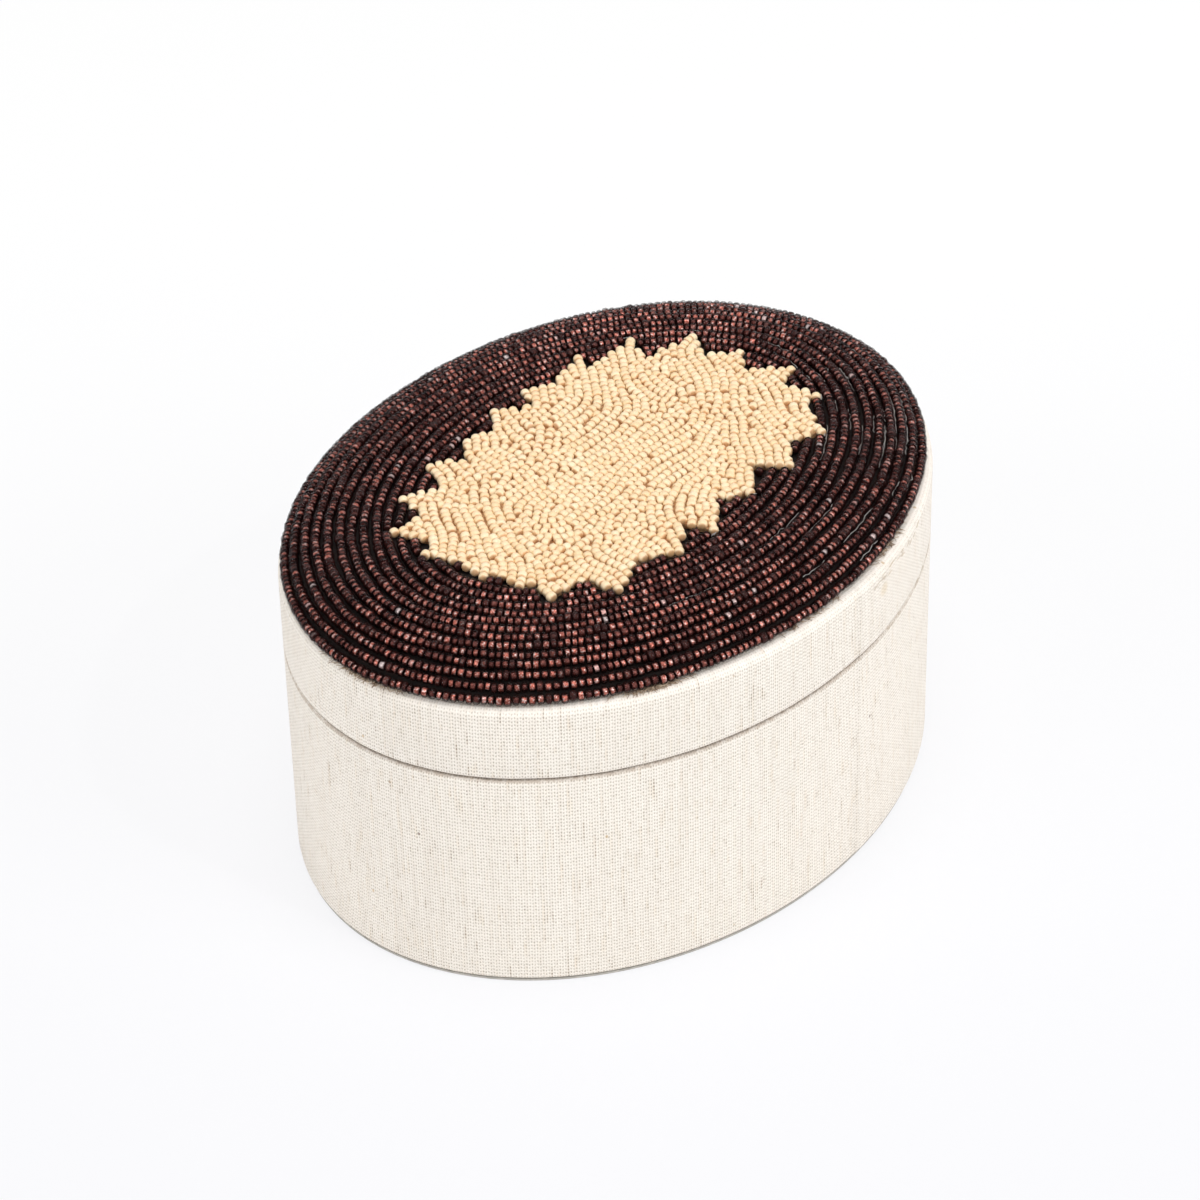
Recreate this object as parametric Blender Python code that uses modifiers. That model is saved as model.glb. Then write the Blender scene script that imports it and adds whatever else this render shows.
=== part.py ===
"""Oval keepsake box covered in linen, with a padded lid worked in rows of glass beads.

The lid lifts straight off a card neck that stands up inside the base. Lengths are in
metres and +Z is up. The origin lies on the table under the middle of the box, and +X
runs along it.
"""
import math

import bmesh
import bpy
from mathutils import Matrix, Vector

# Outside of the box
BOX_LENGTH = 0.150
BOX_WIDTH = 0.1155
SEAM_HEIGHT = 0.0491
SEAM_GAP = 0.0004
LID_HEIGHT = 0.0161          # from the seam to the linen that is turned over the lid
OVAL_SEGMENTS = 48
SEAT = 0.0003                # left between the meshes of two pieces that touch
WELD = 0.00001               # points nearer than this are one

# Cloth round the walls
LINEN = 0.0006
FOLD_ROUND = 0.0008          # radius where the linen turns over the lid's rim
TURN_UNDER = 0.0075          # linen turned under the base
TURN_OVER = 0.0085           # linen turned over the lid board
TURN_IN = 0.0120             # linen turned down inside the base

# Boards
WALL_BOARD = 0.0022
FLOOR_BOARD = 0.0030
LID_BOARD = 0.0025
FOOT_SHEET = 0.0005
FOOT_INSET = 0.0005

# Neck and linings
NECK_CARD = 0.0015
NECK_HEADROOM = 0.0017       # between the neck's lining and the ceiling card
NECK_CHAMFER = 0.0004
LINING = 0.0004
FLOOR_PAD = 0.0025
CEILING_CARD = 0.0015
CARD_ROUND = 0.0006          # rounded edge of the lined cards

# Beaded panel: the cloth that the beads are sewn to, and its dome
PANEL_END_INSET = 0.00195    # from the box's outline at its ends
PANEL_SIDE_INSET = 0.00325   # and at its sides
PANEL_SHIFT = 0.0004         # towards the back
BACKING = 0.0003
DOME_RISE = 0.0042
SHOULDER_RUN = 0.0050        # how fast the dome's shoulder levels out
PADDING_INSET = 0.0016
BEAD_DIAMETER = 0.00205
ROW_GAP = 0.0003             # between one strand and the next
STRAND_SIDES = 6
RIDGE_TURNS = (math.radians(50), math.radians(130))
DOME_STATION_SHARES = (0.035, 0.075, 0.135, 0.25, 0.96)

# Sunburst of cream beads
WHOLE_STRANDS = 9            # strands of dark beads that pass clear of it
RAY_CLEARANCE = 0.0005       # from the last of them to the oval that the rays may fill
SUNBURST_HEIGHT = 0.0024
CREAM_PITCH = 0.001915       # from one row of cream beads to the next
CREAM_FURROW = 0.0010        # depth of the furrow between two rows
CUT_OVERRUN = 0.0100

# Each ray of the sunburst: its tip and the notch after it, as shares of that oval's half sizes
RAY_SHARES = (
    ((0.895, 0.059), (0.792, 0.209)),
    ((0.887, 0.376), (0.654, 0.477)),
    ((0.731, 0.644), (0.472, 0.661)),
    ((0.524, 0.786), (0.308, 0.728)),
    ((0.213, 0.820), (0.161, 0.686)),
    ((0.040, 0.836), (-0.037, 0.719)),
    ((-0.167, 0.786), (-0.245, 0.677)),
    ((-0.374, 0.794), (-0.452, 0.636)),
    ((-0.590, 0.728), (-0.625, 0.544)),
    ((-0.771, 0.577), (-0.737, 0.351)),
    ((-0.815, 0.309), (-0.780, 0.117)),
    ((-0.810, -0.084), (-0.763, -0.125)),
    ((-0.780, -0.284), (-0.737, -0.335)),
    ((-0.771, -0.477), (-0.642, -0.518)),
    ((-0.599, -0.728), (-0.426, -0.661)),
    ((-0.296, -0.794), (-0.150, -0.661)),
    ((-0.124, -0.836), (0.040, -0.669)),
    ((0.144, -0.794), (0.282, -0.636)),
    ((0.369, -0.820), (0.498, -0.669)),
    ((0.619, -0.778), (0.731, -0.527)),
    ((0.809, -0.552), (0.800, -0.318)),
    ((0.904, -0.284), (0.800, -0.059)),
)

# Colour, roughness and metallic value of each material
FINISHES = {
    "linen": ((0.86, 0.80, 0.71, 1.0), 0.90, 0.0),
    "greyboard": ((0.42, 0.39, 0.35, 1.0), 0.92, 0.0),
    "foot_paper": ((0.52, 0.50, 0.47, 1.0), 0.88, 0.0),
    "lining": ((0.80, 0.73, 0.62, 1.0), 0.92, 0.0),
    "foam": ((0.88, 0.86, 0.78, 1.0), 0.95, 0.0),
    "backing": ((0.07, 0.035, 0.025, 1.0), 0.95, 0.0),
    "lined_glass": ((0.09, 0.022, 0.015, 1.0), 0.22, 0.0),
    "cream_glass": ((0.90, 0.68, 0.42, 1.0), 0.38, 0.0),
}

# Sizes that follow from those above, as insets from the outline of the box and as heights
HALF_BOX = (BOX_LENGTH / 2, BOX_WIDTH / 2)
HALF_PANEL = (HALF_BOX[0] - PANEL_END_INSET, HALF_BOX[1] - PANEL_SIDE_INSET)
ROW_PITCH = BEAD_DIAMETER + ROW_GAP
WALL_OUTSIDE = LINEN + SEAT
WALL_INSIDE = WALL_OUTSIDE + WALL_BOARD
CLOTH_INSIDE = WALL_INSIDE + SEAT + LINEN
NECK_OUTSIDE = CLOTH_INSIDE + SEAT + LINING + SEAT
NECK_INSIDE = NECK_OUTSIDE + NECK_CARD
LINING_INSIDE = NECK_INSIDE + SEAT + LINING
CLOTH_UNDER = FOOT_SHEET + SEAT
BOARD_UNDER = CLOTH_UNDER + LINEN + SEAT
FLOOR_TOP = BOARD_UNDER + FLOOR_BOARD
BASE_TOP = SEAM_HEIGHT - SEAM_GAP / 2
LID_UNDER = SEAM_HEIGHT + SEAM_GAP / 2
RIM_HEIGHT = SEAM_HEIGHT + LID_HEIGHT
BOARD_TOP = RIM_HEIGHT - LINEN - SEAT
BOARD_BOTTOM = BOARD_TOP - LID_BOARD
CEILING = BOARD_BOTTOM - SEAT - CEILING_CARD
NECK_TOP = CEILING - NECK_HEADROOM - LINING - SEAT
CLOTH_EDGE_TOP = RIM_HEIGHT + SEAT + BACKING
STRAND_LIFT = SEAT + BEAD_DIAMETER / 2


def clear_scene():
    for thing in list(bpy.data.objects):
        bpy.data.objects.remove(thing)


def new_collection(name):
    collection = bpy.data.collections.new(name)
    bpy.context.scene.collection.children.link(collection)
    return collection


def new_material(name):
    colour, roughness, metallic = FINISHES[name]
    material = bpy.data.materials.new(name)
    material.use_nodes = True
    shader = material.node_tree.nodes["Principled BSDF"]
    shader.inputs["Base Color"].default_value = colour
    shader.inputs["Roughness"].default_value = roughness
    shader.inputs["Metallic"].default_value = metallic
    return material


def new_empty(name, location, parent=None):
    empty = bpy.data.objects.new(name, None)
    empty.location = location
    empty.parent = parent
    COLLECTION.objects.link(empty)
    return empty


def add_piece(name, shape, material, parent, collection=None):
    """Turns a finished bmesh into an object that stands under its body's empty."""
    bmesh.ops.recalc_face_normals(shape, faces=shape.faces)
    mesh = bpy.data.meshes.new(name)
    shape.to_mesh(mesh)
    shape.free()
    mesh.materials.append(MATERIALS[material])
    mesh.shade_smooth()
    mesh.set_sharp_from_angle(angle=math.radians(35))
    piece = bpy.data.objects.new(name, mesh)
    piece.parent = parent
    (collection or COLLECTION).objects.link(piece)
    return piece


def first_ring(shape, half_sizes, inset, height):
    """An oval of edges, the inset kept from the outline."""
    half_length, half_width = half_sizes
    stretch = Matrix.Diagonal((half_length - inset, half_width - inset, 1, 1))
    place = Matrix.Translation((0, 0, height)) @ stretch
    made = bmesh.ops.create_circle(shape, segments=OVAL_SEGMENTS, radius=1, matrix=place)
    return list({edge for vert in made["verts"] for edge in vert.link_edges})


def next_ring(shape, ring, half_sizes, here, there):
    """Extrudes a ring from one point of the section to the next."""
    grown = bmesh.ops.extrude_edge_only(shape, edges=ring)["geom"]
    verts = [part for part in grown if isinstance(part, bmesh.types.BMVert)]
    stretch = [(half - there[0]) / (half - here[0]) for half in half_sizes]
    bmesh.ops.scale(shape, verts=verts, vec=(*stretch, 1))
    bmesh.ops.translate(shape, verts=verts, vec=(0, 0, there[1] - here[1]))
    return [part for part in grown if isinstance(part, bmesh.types.BMEdge)]


def oval_surface(half_sizes, section):
    """Carries an open section, of insets and heights, round the oval. Gives its end rings too."""
    shape = bmesh.new()
    start = ring = first_ring(shape, half_sizes, *section[0])
    for here, there in zip(section, section[1:]):
        ring = next_ring(shape, ring, half_sizes, here, there)
    return shape, start, ring


def oval_hoop(half_sizes, section):
    """A hollow oval piece: a closed section carried round the oval."""
    shape, _, _ = oval_surface(half_sizes, section + section[:1])
    bmesh.ops.remove_doubles(shape, verts=shape.verts, dist=WELD)
    return shape


def oval_solid(half_sizes, section):
    """A solid oval piece: rings from its underside to its top, closed at both ends."""
    shape, start, end = oval_surface(half_sizes, section)
    bmesh.ops.edgeloop_fill(shape, edges=start)
    bmesh.ops.edgeloop_fill(shape, edges=end)
    return shape


def box_section(outside, inside, bottom, top):
    return [(outside, bottom), (outside, top), (inside, top), (inside, bottom)]


def make_foot_sheet(base):
    section = [(FOOT_INSET, 0), (FOOT_INSET, FOOT_SHEET)]
    add_piece("foot_sheet", oval_solid(HALF_BOX, section), "foot_paper", base)


def make_base_board(base):
    inset = WALL_INSIDE + SEAT
    section = [(inset, BOARD_UNDER), (inset, FLOOR_TOP)]
    add_piece("base_board", oval_solid(HALF_BOX, section), "greyboard", base)


def make_base_wall(base):
    section = box_section(WALL_OUTSIDE, WALL_INSIDE, BOARD_UNDER, BASE_TOP - LINEN - SEAT)
    add_piece("base_wall", oval_hoop(HALF_BOX, section), "greyboard", base)


def make_base_linen(base):
    """Linen round the base: turned under the floor, and over the wall's top and down inside."""
    inner_face = CLOTH_INSIDE - LINEN
    section = [
        (0, CLOTH_UNDER),
        (0, BASE_TOP),
        (CLOTH_INSIDE, BASE_TOP),
        (CLOTH_INSIDE, BASE_TOP - TURN_IN),
        (inner_face, BASE_TOP - TURN_IN),
        (inner_face, BASE_TOP - LINEN),
        (LINEN, BASE_TOP - LINEN),
        (LINEN, CLOTH_UNDER + LINEN),
        (TURN_UNDER, CLOTH_UNDER + LINEN),
        (TURN_UNDER, CLOTH_UNDER),
    ]
    add_piece("base_linen", oval_hoop(HALF_BOX, section), "linen", base)


def make_base_neck(base):
    """Card hoop whose top edge is chamfered, so that the lid finds it."""
    section = [
        (NECK_OUTSIDE, FLOOR_TOP + SEAT),
        (NECK_OUTSIDE, NECK_TOP - NECK_CHAMFER),
        (NECK_OUTSIDE + NECK_CHAMFER, NECK_TOP),
        (NECK_INSIDE, NECK_TOP),
        (NECK_INSIDE, FLOOR_TOP + SEAT),
    ]
    add_piece("base_neck", oval_hoop(HALF_BOX, section), "greyboard", base)


def make_neck_lining(base):
    """Thin lining that covers both faces of the neck and passes over its top."""
    outside = NECK_OUTSIDE - SEAT
    inside = NECK_INSIDE + SEAT
    section = [
        (outside - LINING, FLOOR_TOP + SEAT),
        (outside - LINING, NECK_TOP),
        (outside - LINING + NECK_CHAMFER, NECK_TOP + SEAT + LINING),
        (inside + LINING, NECK_TOP + SEAT + LINING),
        (inside + LINING, FLOOR_TOP + SEAT),
        (inside, FLOOR_TOP + SEAT),
        (inside, NECK_TOP + SEAT),
        (outside + NECK_CHAMFER, NECK_TOP + SEAT),
        (outside, NECK_TOP - NECK_CHAMFER + SEAT),
        (outside, FLOOR_TOP + SEAT),
    ]
    add_piece("neck_lining", oval_hoop(HALF_BOX, section), "lining", base)


def make_floor_pad(base):
    inset = LINING_INSIDE + SEAT
    top = FLOOR_TOP + SEAT + FLOOR_PAD
    section = [
        (inset, FLOOR_TOP + SEAT),
        (inset, top - CARD_ROUND),
        (inset + CARD_ROUND, top),
    ]
    add_piece("floor_pad", oval_solid(HALF_BOX, section), "lining", base)


def make_lid_wall(lid):
    section = box_section(WALL_OUTSIDE, WALL_INSIDE, LID_UNDER + LINEN + SEAT, BOARD_BOTTOM - SEAT)
    add_piece("lid_wall", oval_hoop(HALF_BOX, section), "greyboard", lid)


def make_lid_board(lid):
    section = [(WALL_OUTSIDE, BOARD_BOTTOM), (WALL_OUTSIDE, BOARD_TOP)]
    add_piece("lid_board", oval_solid(HALF_BOX, section), "greyboard", lid)


def make_lid_linen(lid):
    """Linen round the lid: turned over the board's top, and under the wall and up inside it."""
    inner_face = CLOTH_INSIDE - LINEN
    section = [
        (0, LID_UNDER),
        (0, RIM_HEIGHT - FOLD_ROUND),
        (FOLD_ROUND, RIM_HEIGHT),
        (TURN_OVER, RIM_HEIGHT),
        (TURN_OVER, RIM_HEIGHT - LINEN),
        (LINEN, RIM_HEIGHT - LINEN),
        (LINEN, LID_UNDER + LINEN),
        (inner_face, LID_UNDER + LINEN),
        (inner_face, BOARD_BOTTOM - SEAT),
        (CLOTH_INSIDE, BOARD_BOTTOM - SEAT),
        (CLOTH_INSIDE, LID_UNDER),
    ]
    add_piece("lid_linen", oval_hoop(HALF_BOX, section), "linen", lid)


def make_ceiling_card(lid):
    inset = CLOTH_INSIDE + SEAT
    section = [
        (inset + CARD_ROUND, CEILING),
        (inset, CEILING + CARD_ROUND),
        (inset, BOARD_BOTTOM - SEAT),
    ]
    add_piece("ceiling_card", oval_solid(HALF_BOX, section), "lining", lid)


def dome_point(inset, lift=0.0):
    """A point of the panel's section, lifted square to the cloth: its inset and its height."""
    fall = math.exp(-inset / SHOULDER_RUN)
    height = CLOTH_EDGE_TOP + DOME_RISE * (1 - fall)
    slope = math.atan(DOME_RISE / SHOULDER_RUN * fall)
    return inset - lift * math.sin(slope), height + lift * math.cos(slope)


def dome_stations(first):
    """Insets from the first to the middle, close together over the shoulder."""
    stations = [share * HALF_PANEL[1] for share in DOME_STATION_SHARES]
    return [first] + [station for station in stations if station > first]


def next_strand_inset(inset):
    """The inset whose strand lies one row pitch from this one, measured across the strands."""
    last = Vector(dome_point(inset, STRAND_LIFT))
    near, far = inset, inset + 2 * ROW_PITCH
    while far - near > WELD / 100:
        middle = (near + far) / 2
        apart = (Vector(dome_point(middle, STRAND_LIFT)) - last).length
        near, far = (middle, far) if apart < ROW_PITCH else (near, middle)
    return near


def whole_strand_insets():
    insets = [0.0]
    while len(insets) < WHOLE_STRANDS:
        insets.append(next_strand_inset(insets[-1]))
    return insets


def sunburst_outline(grow=0.0):
    """The zigzag outline inside the whole strands, moved outwards by grow square to its edges."""
    taken = whole_strand_insets()[-1] + BEAD_DIAMETER / 2 + RAY_CLEARANCE
    half_length, half_width = (half - taken for half in HALF_PANEL)
    corners = [Vector((along * half_length, across * half_width))
               for ray in RAY_SHARES for along, across in ray]
    grown = []
    for before, corner, after in zip(corners[-1:] + corners[:-1], corners, corners[1:] + corners[:1]):
        to_corner = (corner - before).normalized()
        from_corner = (after - corner).normalized()
        outwards = Vector((to_corner.y + from_corner.y, -to_corner.x - from_corner.x)).normalized()
        reach = outwards.dot(Vector((to_corner.y, -to_corner.x)))
        grown.append(corner + outwards * grow / reach)
    return grown


def shows_between_rays(inset):
    half_length, half_width = (half - inset for half in HALF_PANEL)
    return any(math.hypot(corner.x / half_length, corner.y / half_width) < 1
               for corner in sunburst_outline())


def inner_strand_insets():
    """The last whole strand, which keeps the inner field in one piece, and the broken ones."""
    insets = whole_strand_insets()[-1:]
    while shows_between_rays(next_strand_inset(insets[-1])):
        insets.append(next_strand_inset(insets[-1]))
    return insets


def make_lid_padding(panel):
    """Foam under the beaded cloth: flat below, domed above."""
    stations = dome_stations(PADDING_INSET)
    top = [dome_point(inset, -BACKING - SEAT) for inset in stations]
    section = [(top[0][0], RIM_HEIGHT + SEAT)] + top
    add_piece("lid_padding", oval_solid(HALF_PANEL, section), "foam", panel)


def make_bead_backing(panel):
    """Dark cloth drawn over the padding, a shell as thick as the cloth with a flat, cut edge."""
    section = [dome_point(inset) for inset in dome_stations(0)]
    shape, _, end = oval_surface(HALF_PANEL, section)
    bmesh.ops.edgeloop_fill(shape, edges=end)
    cloth = add_piece("bead_backing", shape, "backing", panel)
    thicken = cloth.modifiers.new("Cloth thickness", "SOLIDIFY")
    thicken.thickness = BACKING
    thicken.offset = -1
    thicken.use_even_offset = True


def make_strand(name, inset, panel):
    """One oval strand of dark beads, as a tube whose bore the thread fills."""
    centre_inset, centre_height = dome_point(inset, STRAND_LIFT)
    section = []
    for side in range(STRAND_SIDES):
        turn = 2 * math.pi * (side + 0.5) / STRAND_SIDES
        across = BEAD_DIAMETER / 2 * math.cos(turn)
        section.append((centre_inset + across, centre_height + BEAD_DIAMETER / 2 * math.sin(turn)))
    add_piece(name, oval_hoop(HALF_PANEL, section), "lined_glass", panel)


def sunburst_prism(grow, bottom, top):
    shape = bmesh.new()
    corners = [shape.verts.new((corner.x, corner.y, bottom)) for corner in sunburst_outline(grow)]
    floor = shape.faces.new(corners)
    risen = bmesh.ops.extrude_face_region(shape, geom=[floor])["geom"]
    verts = [part for part in risen if isinstance(part, bmesh.types.BMVert)]
    bmesh.ops.translate(shape, verts=verts, vec=(0, 0, top - bottom))
    return shape


def furrowed_block(bottom, top):
    """A block whose top is furrowed like rows of beads that lie side by side along the box."""
    rows = math.ceil(HALF_PANEL[1] / CREAM_PITCH)
    section = [(rows * CREAM_PITCH, bottom), (-rows * CREAM_PITCH, bottom)]
    for row in range(-rows, rows):
        section.append((row * CREAM_PITCH, top - CREAM_FURROW))
        section.append(((row + 1 / 2) * CREAM_PITCH, top))
    section.append((rows * CREAM_PITCH, top - CREAM_FURROW))
    shape = bmesh.new()
    corners = [shape.verts.new((-HALF_PANEL[0], across, height)) for across, height in section]
    end = shape.faces.new(corners)
    drawn = bmesh.ops.extrude_face_region(shape, geom=[end])["geom"]
    verts = [part for part in drawn if isinstance(part, bmesh.types.BMVert)]
    bmesh.ops.translate(shape, verts=verts, vec=(2 * HALF_PANEL[0], 0, 0))
    return shape


def make_sunburst(panel):
    """The field of cream beads: a zigzag slab, furrowed between its rows."""
    bottom = CLOTH_EDGE_TOP + DOME_RISE + SEAT
    top = bottom + SUNBURST_HEIGHT
    shape = sunburst_prism(0, bottom, top + CUT_OVERRUN)
    field = add_piece("sunburst", shape, "cream_glass", panel)
    rows = furrowed_block(bottom - CUT_OVERRUN, top)
    block = add_piece("sunburst_rows", rows, "cream_glass", panel, CUTTERS)
    block.hide_render = True
    block.display_type = "WIRE"
    shared = field.modifiers.new("Furrow between the rows", "BOOLEAN")
    shared.operation = "INTERSECT"
    shared.solver = "EXACT"
    shared.object = block


def make_outer_rows(panel):
    for number, inset in enumerate(whole_strand_insets()[:-1], start=1):
        make_strand(f"bead_row_{number:02d}", inset, panel)


def make_inner_rows(panel):
    """Strands sewn side by side as one ridged field, which the rays of the sunburst run into."""
    insets = inner_strand_insets()
    half_bead = BEAD_DIAMETER / 2
    outer_end = insets[0] - half_bead
    inner_end = insets[-1] + half_bead
    section = [dome_point(end, SEAT) for end in (inner_end, (inner_end + outer_end) / 2, outer_end)]
    for inset in insets:
        centre_inset, centre_height = dome_point(inset, STRAND_LIFT)
        section.append((centre_inset - ROW_PITCH / 2, centre_height))
        for turn in RIDGE_TURNS:
            across = half_bead * math.cos(turn)
            section.append((centre_inset - across, centre_height + half_bead * math.sin(turn)))
    section.append((inner_end, section[-1][1]))
    field = add_piece("inner_bead_rows", oval_hoop(HALF_PANEL, section), "lined_glass", panel)
    bottom = CLOTH_EDGE_TOP - CUT_OVERRUN
    top = CLOTH_EDGE_TOP + DOME_RISE + SUNBURST_HEIGHT + CUT_OVERRUN
    shape = sunburst_prism(SEAT, bottom, top)
    cutter = add_piece("sunburst_cutter", shape, "cream_glass", panel, CUTTERS)
    cutter.hide_render = True
    cutter.display_type = "WIRE"
    cut = field.modifiers.new("Stop at the rays", "BOOLEAN")
    cut.operation = "DIFFERENCE"
    cut.solver = "EXACT"
    cut.object = cutter


def make_box():
    base = new_empty("base", (0, 0, 0))
    lid = new_empty("lid", (0, 0, 0))
    panel = new_empty("beaded_panel", (0, PANEL_SHIFT, 0), lid)
    for make in (make_foot_sheet, make_base_board, make_base_wall, make_base_linen,
                 make_base_neck, make_neck_lining, make_floor_pad):
        make(base)
    for make in (make_lid_wall, make_lid_board, make_lid_linen, make_ceiling_card):
        make(lid)
    for make in (make_lid_padding, make_bead_backing, make_outer_rows, make_inner_rows,
                 make_sunburst):
        make(panel)


clear_scene()
COLLECTION = new_collection("beaded_keepsake_box")
CUTTERS = new_collection("cutters")
MATERIALS = {name: new_material(name) for name in FINISHES}
make_box()
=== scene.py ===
"""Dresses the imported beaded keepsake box: linen, linings, cloth, threads and every bead.

The box stands on the floor with its length along X. The lid's panel is an oval dome of dark
lined glass beads round a sunburst of cream beads. All lengths are in metres.
"""

import functools
import math
import random

import bmesh
import bpy
from bpy.props import FloatProperty, FloatVectorProperty, IntProperty, PointerProperty
from mathutils import Matrix, Vector, noise


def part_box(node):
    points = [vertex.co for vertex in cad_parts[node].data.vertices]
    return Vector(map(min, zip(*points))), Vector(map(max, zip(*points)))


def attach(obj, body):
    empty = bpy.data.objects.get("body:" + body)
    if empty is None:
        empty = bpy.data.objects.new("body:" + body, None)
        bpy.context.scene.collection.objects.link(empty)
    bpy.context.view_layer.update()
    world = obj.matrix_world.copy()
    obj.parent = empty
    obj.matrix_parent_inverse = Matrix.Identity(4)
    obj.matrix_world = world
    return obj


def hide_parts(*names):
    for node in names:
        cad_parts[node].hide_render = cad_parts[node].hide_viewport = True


bl_info = {
    "name": "Beaded Keepsake Box",
    "version": (1, 0, 0),
    "blender": (4, 5, 0),
    "location": "View3D > Sidebar > Keepsake Box",
    "description": "Linen, linings and glass beads for an oval keepsake box",
    "category": "Add Mesh",
}

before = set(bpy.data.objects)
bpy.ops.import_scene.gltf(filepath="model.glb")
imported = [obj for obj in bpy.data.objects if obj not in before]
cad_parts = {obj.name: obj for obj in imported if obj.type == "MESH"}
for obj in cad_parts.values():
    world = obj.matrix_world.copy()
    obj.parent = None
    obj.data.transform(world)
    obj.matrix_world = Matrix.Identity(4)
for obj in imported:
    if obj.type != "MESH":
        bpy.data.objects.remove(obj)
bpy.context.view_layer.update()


def lowest(node):
    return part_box(node)[0]


def highest(node):
    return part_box(node)[1]


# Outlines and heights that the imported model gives
HALF_BOX = (highest("base_linen").x, highest("base_linen").y)
HALF_PANEL = (highest("bead_backing").x, (highest("bead_backing").y - lowest("bead_backing").y) / 2)
PANEL_SHIFT = (highest("bead_backing").y + lowest("bead_backing").y) / 2
CLOTH_UNDER = lowest("base_linen").z
BASE_TOP = highest("base_linen").z
LID_UNDER = lowest("lid_linen").z
RIM = highest("lid_linen").z
LID_BOARD_UNDER = lowest("lid_board").z
PADDING_UNDER = lowest("lid_padding").z
SUNBURST_UNDER = lowest("sunburst").z
SEAT = PADDING_UNDER - RIM      # room between pieces that are glued or sewn together

# Strips of cloth round the box. Their ends meet where the photograph shows the join
JOIN_TURN = math.radians(271.3)
JOIN_EDGE = 0.12                # width of the last segment before the join, as a share of the others
LAP_WIDTH = 0.0100
LAP_DEPTH = 0.00012
RING_SEGMENTS = 288
WALL_SHARE = 0.98               # share of the box's outline past which the cloth is on the wall
EDGE_REACH = 0.0016             # height over which a folded edge wanders
EDGE_WANDER = 0.00010

# The seam is open round this turn, in degrees, and closes further on
SEAM_OPEN_TURN = 222
SEAM_OPEN_SPREAD = 50
SEAM_CLOSING_SPREAD = 20
SEAM_RISE = 0.00028             # how far the base's edge rises where the seam closes

# How the beads lie
OUTER_STRAND_DROP = 0.0002      # how far the outermost strand sags; the next ones sag less
STRAND_SPREAD = 0.04            # how much further in a strand lies at the box's ends, as a share
STRAND_WANDER = 0.00008
OUTER_STRAND_WANDER = 0.00002   # the first strands follow the rim more closely
SUNBURST_ROOM = 0.0005          # from the last whole strand to the frame of the rays' shares

# Each ray of the sunburst: its tip and the notch after it, as shares of the oval inside the
# last whole strand of dark beads
RAY_SHARES = (
    ((0.895, 0.059), (0.792, 0.209)),
    ((0.887, 0.376), (0.654, 0.477)),
    ((0.731, 0.644), (0.472, 0.661)),
    ((0.524, 0.786), (0.308, 0.728)),
    ((0.213, 0.820), (0.161, 0.686)),
    ((0.040, 0.836), (-0.037, 0.719)),
    ((-0.167, 0.786), (-0.245, 0.677)),
    ((-0.374, 0.794), (-0.452, 0.636)),
    ((-0.590, 0.728), (-0.625, 0.544)),
    ((-0.771, 0.577), (-0.737, 0.351)),
    ((-0.815, 0.309), (-0.780, 0.117)),
    ((-0.810, -0.084), (-0.763, -0.125)),
    ((-0.780, -0.284), (-0.737, -0.335)),
    ((-0.771, -0.477), (-0.642, -0.518)),
    ((-0.599, -0.728), (-0.426, -0.661)),
    ((-0.296, -0.794), (-0.150, -0.661)),
    ((-0.124, -0.836), (0.040, -0.669)),
    ((0.144, -0.794), (0.282, -0.636)),
    ((0.369, -0.820), (0.498, -0.669)),
    ((0.619, -0.778), (0.731, -0.527)),
    ((0.809, -0.552), (0.800, -0.318)),
    ((0.904, -0.284), (0.800, -0.059)),
)

# Outline of a bead round its own axis: place along its length and radius, as shares
BEAD_SHARES = ((-0.50, 0.22), (-0.42, 0.38), (-0.22, 0.49), (0.22, 0.49), (0.42, 0.38), (0.50, 0.22))
ROUND_BEAD_SHARES = ((-0.50, 0.24), (-0.44, 0.39), (-0.24, 0.49), (0.24, 0.49), (0.44, 0.39), (0.50, 0.24))
LINING_SHARES = ((-0.50, 0.32), (-0.38, 0.50), (0.38, 0.50), (0.50, 0.32))


class KeepsakeClothSettings(bpy.types.PropertyGroup):
    """Sizes and colours of the cloth that covers the box."""
    thickness: FloatProperty(
        name="Thickness", description="Linen with the glue under it", default=0.0006,
        min=0.0003, unit="LENGTH")
    fold: FloatProperty(
        name="Fold", description="Radius of a folded edge", default=0.0008, min=0.0007, unit="LENGTH")
    rim_fold: FloatProperty(
        name="Rim", description="Radius of the linen over the lid's upper edge", default=0.0017,
        unit="LENGTH")
    turn_under: FloatProperty(
        name="Turned under", description="Linen turned under the base", default=0.0075, unit="LENGTH")
    turn_over: FloatProperty(
        name="Turned over", description="Linen turned over the lid", default=0.0085, unit="LENGTH")
    turn_in: FloatProperty(
        name="Turned in", description="Linen turned down inside the base", default=0.0120,
        unit="LENGTH")
    thread_across: FloatProperty(
        name="Warp", description="Distance between two warp threads", default=0.00053,
        unit="LENGTH")
    thread_along: FloatProperty(
        name="Weft", description="Distance between two ribs of the weft", default=0.00080,
        unit="LENGTH")
    linen: FloatVectorProperty(
        name="Linen", description="Colour of the linen", default=(0.94, 0.885, 0.815, 1.0), size=4,
        subtype="COLOR", min=0, max=1)
    slub: FloatVectorProperty(
        name="Slubs", description="Colour of the thick raw threads", default=(0.58, 0.47, 0.35, 1.0),
        size=4, subtype="COLOR", min=0, max=1)
    lining: FloatVectorProperty(
        name="Lining", description="Colour of the cotton inside", default=(0.78, 0.70, 0.58, 1.0),
        size=4, subtype="COLOR", min=0, max=1)


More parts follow.
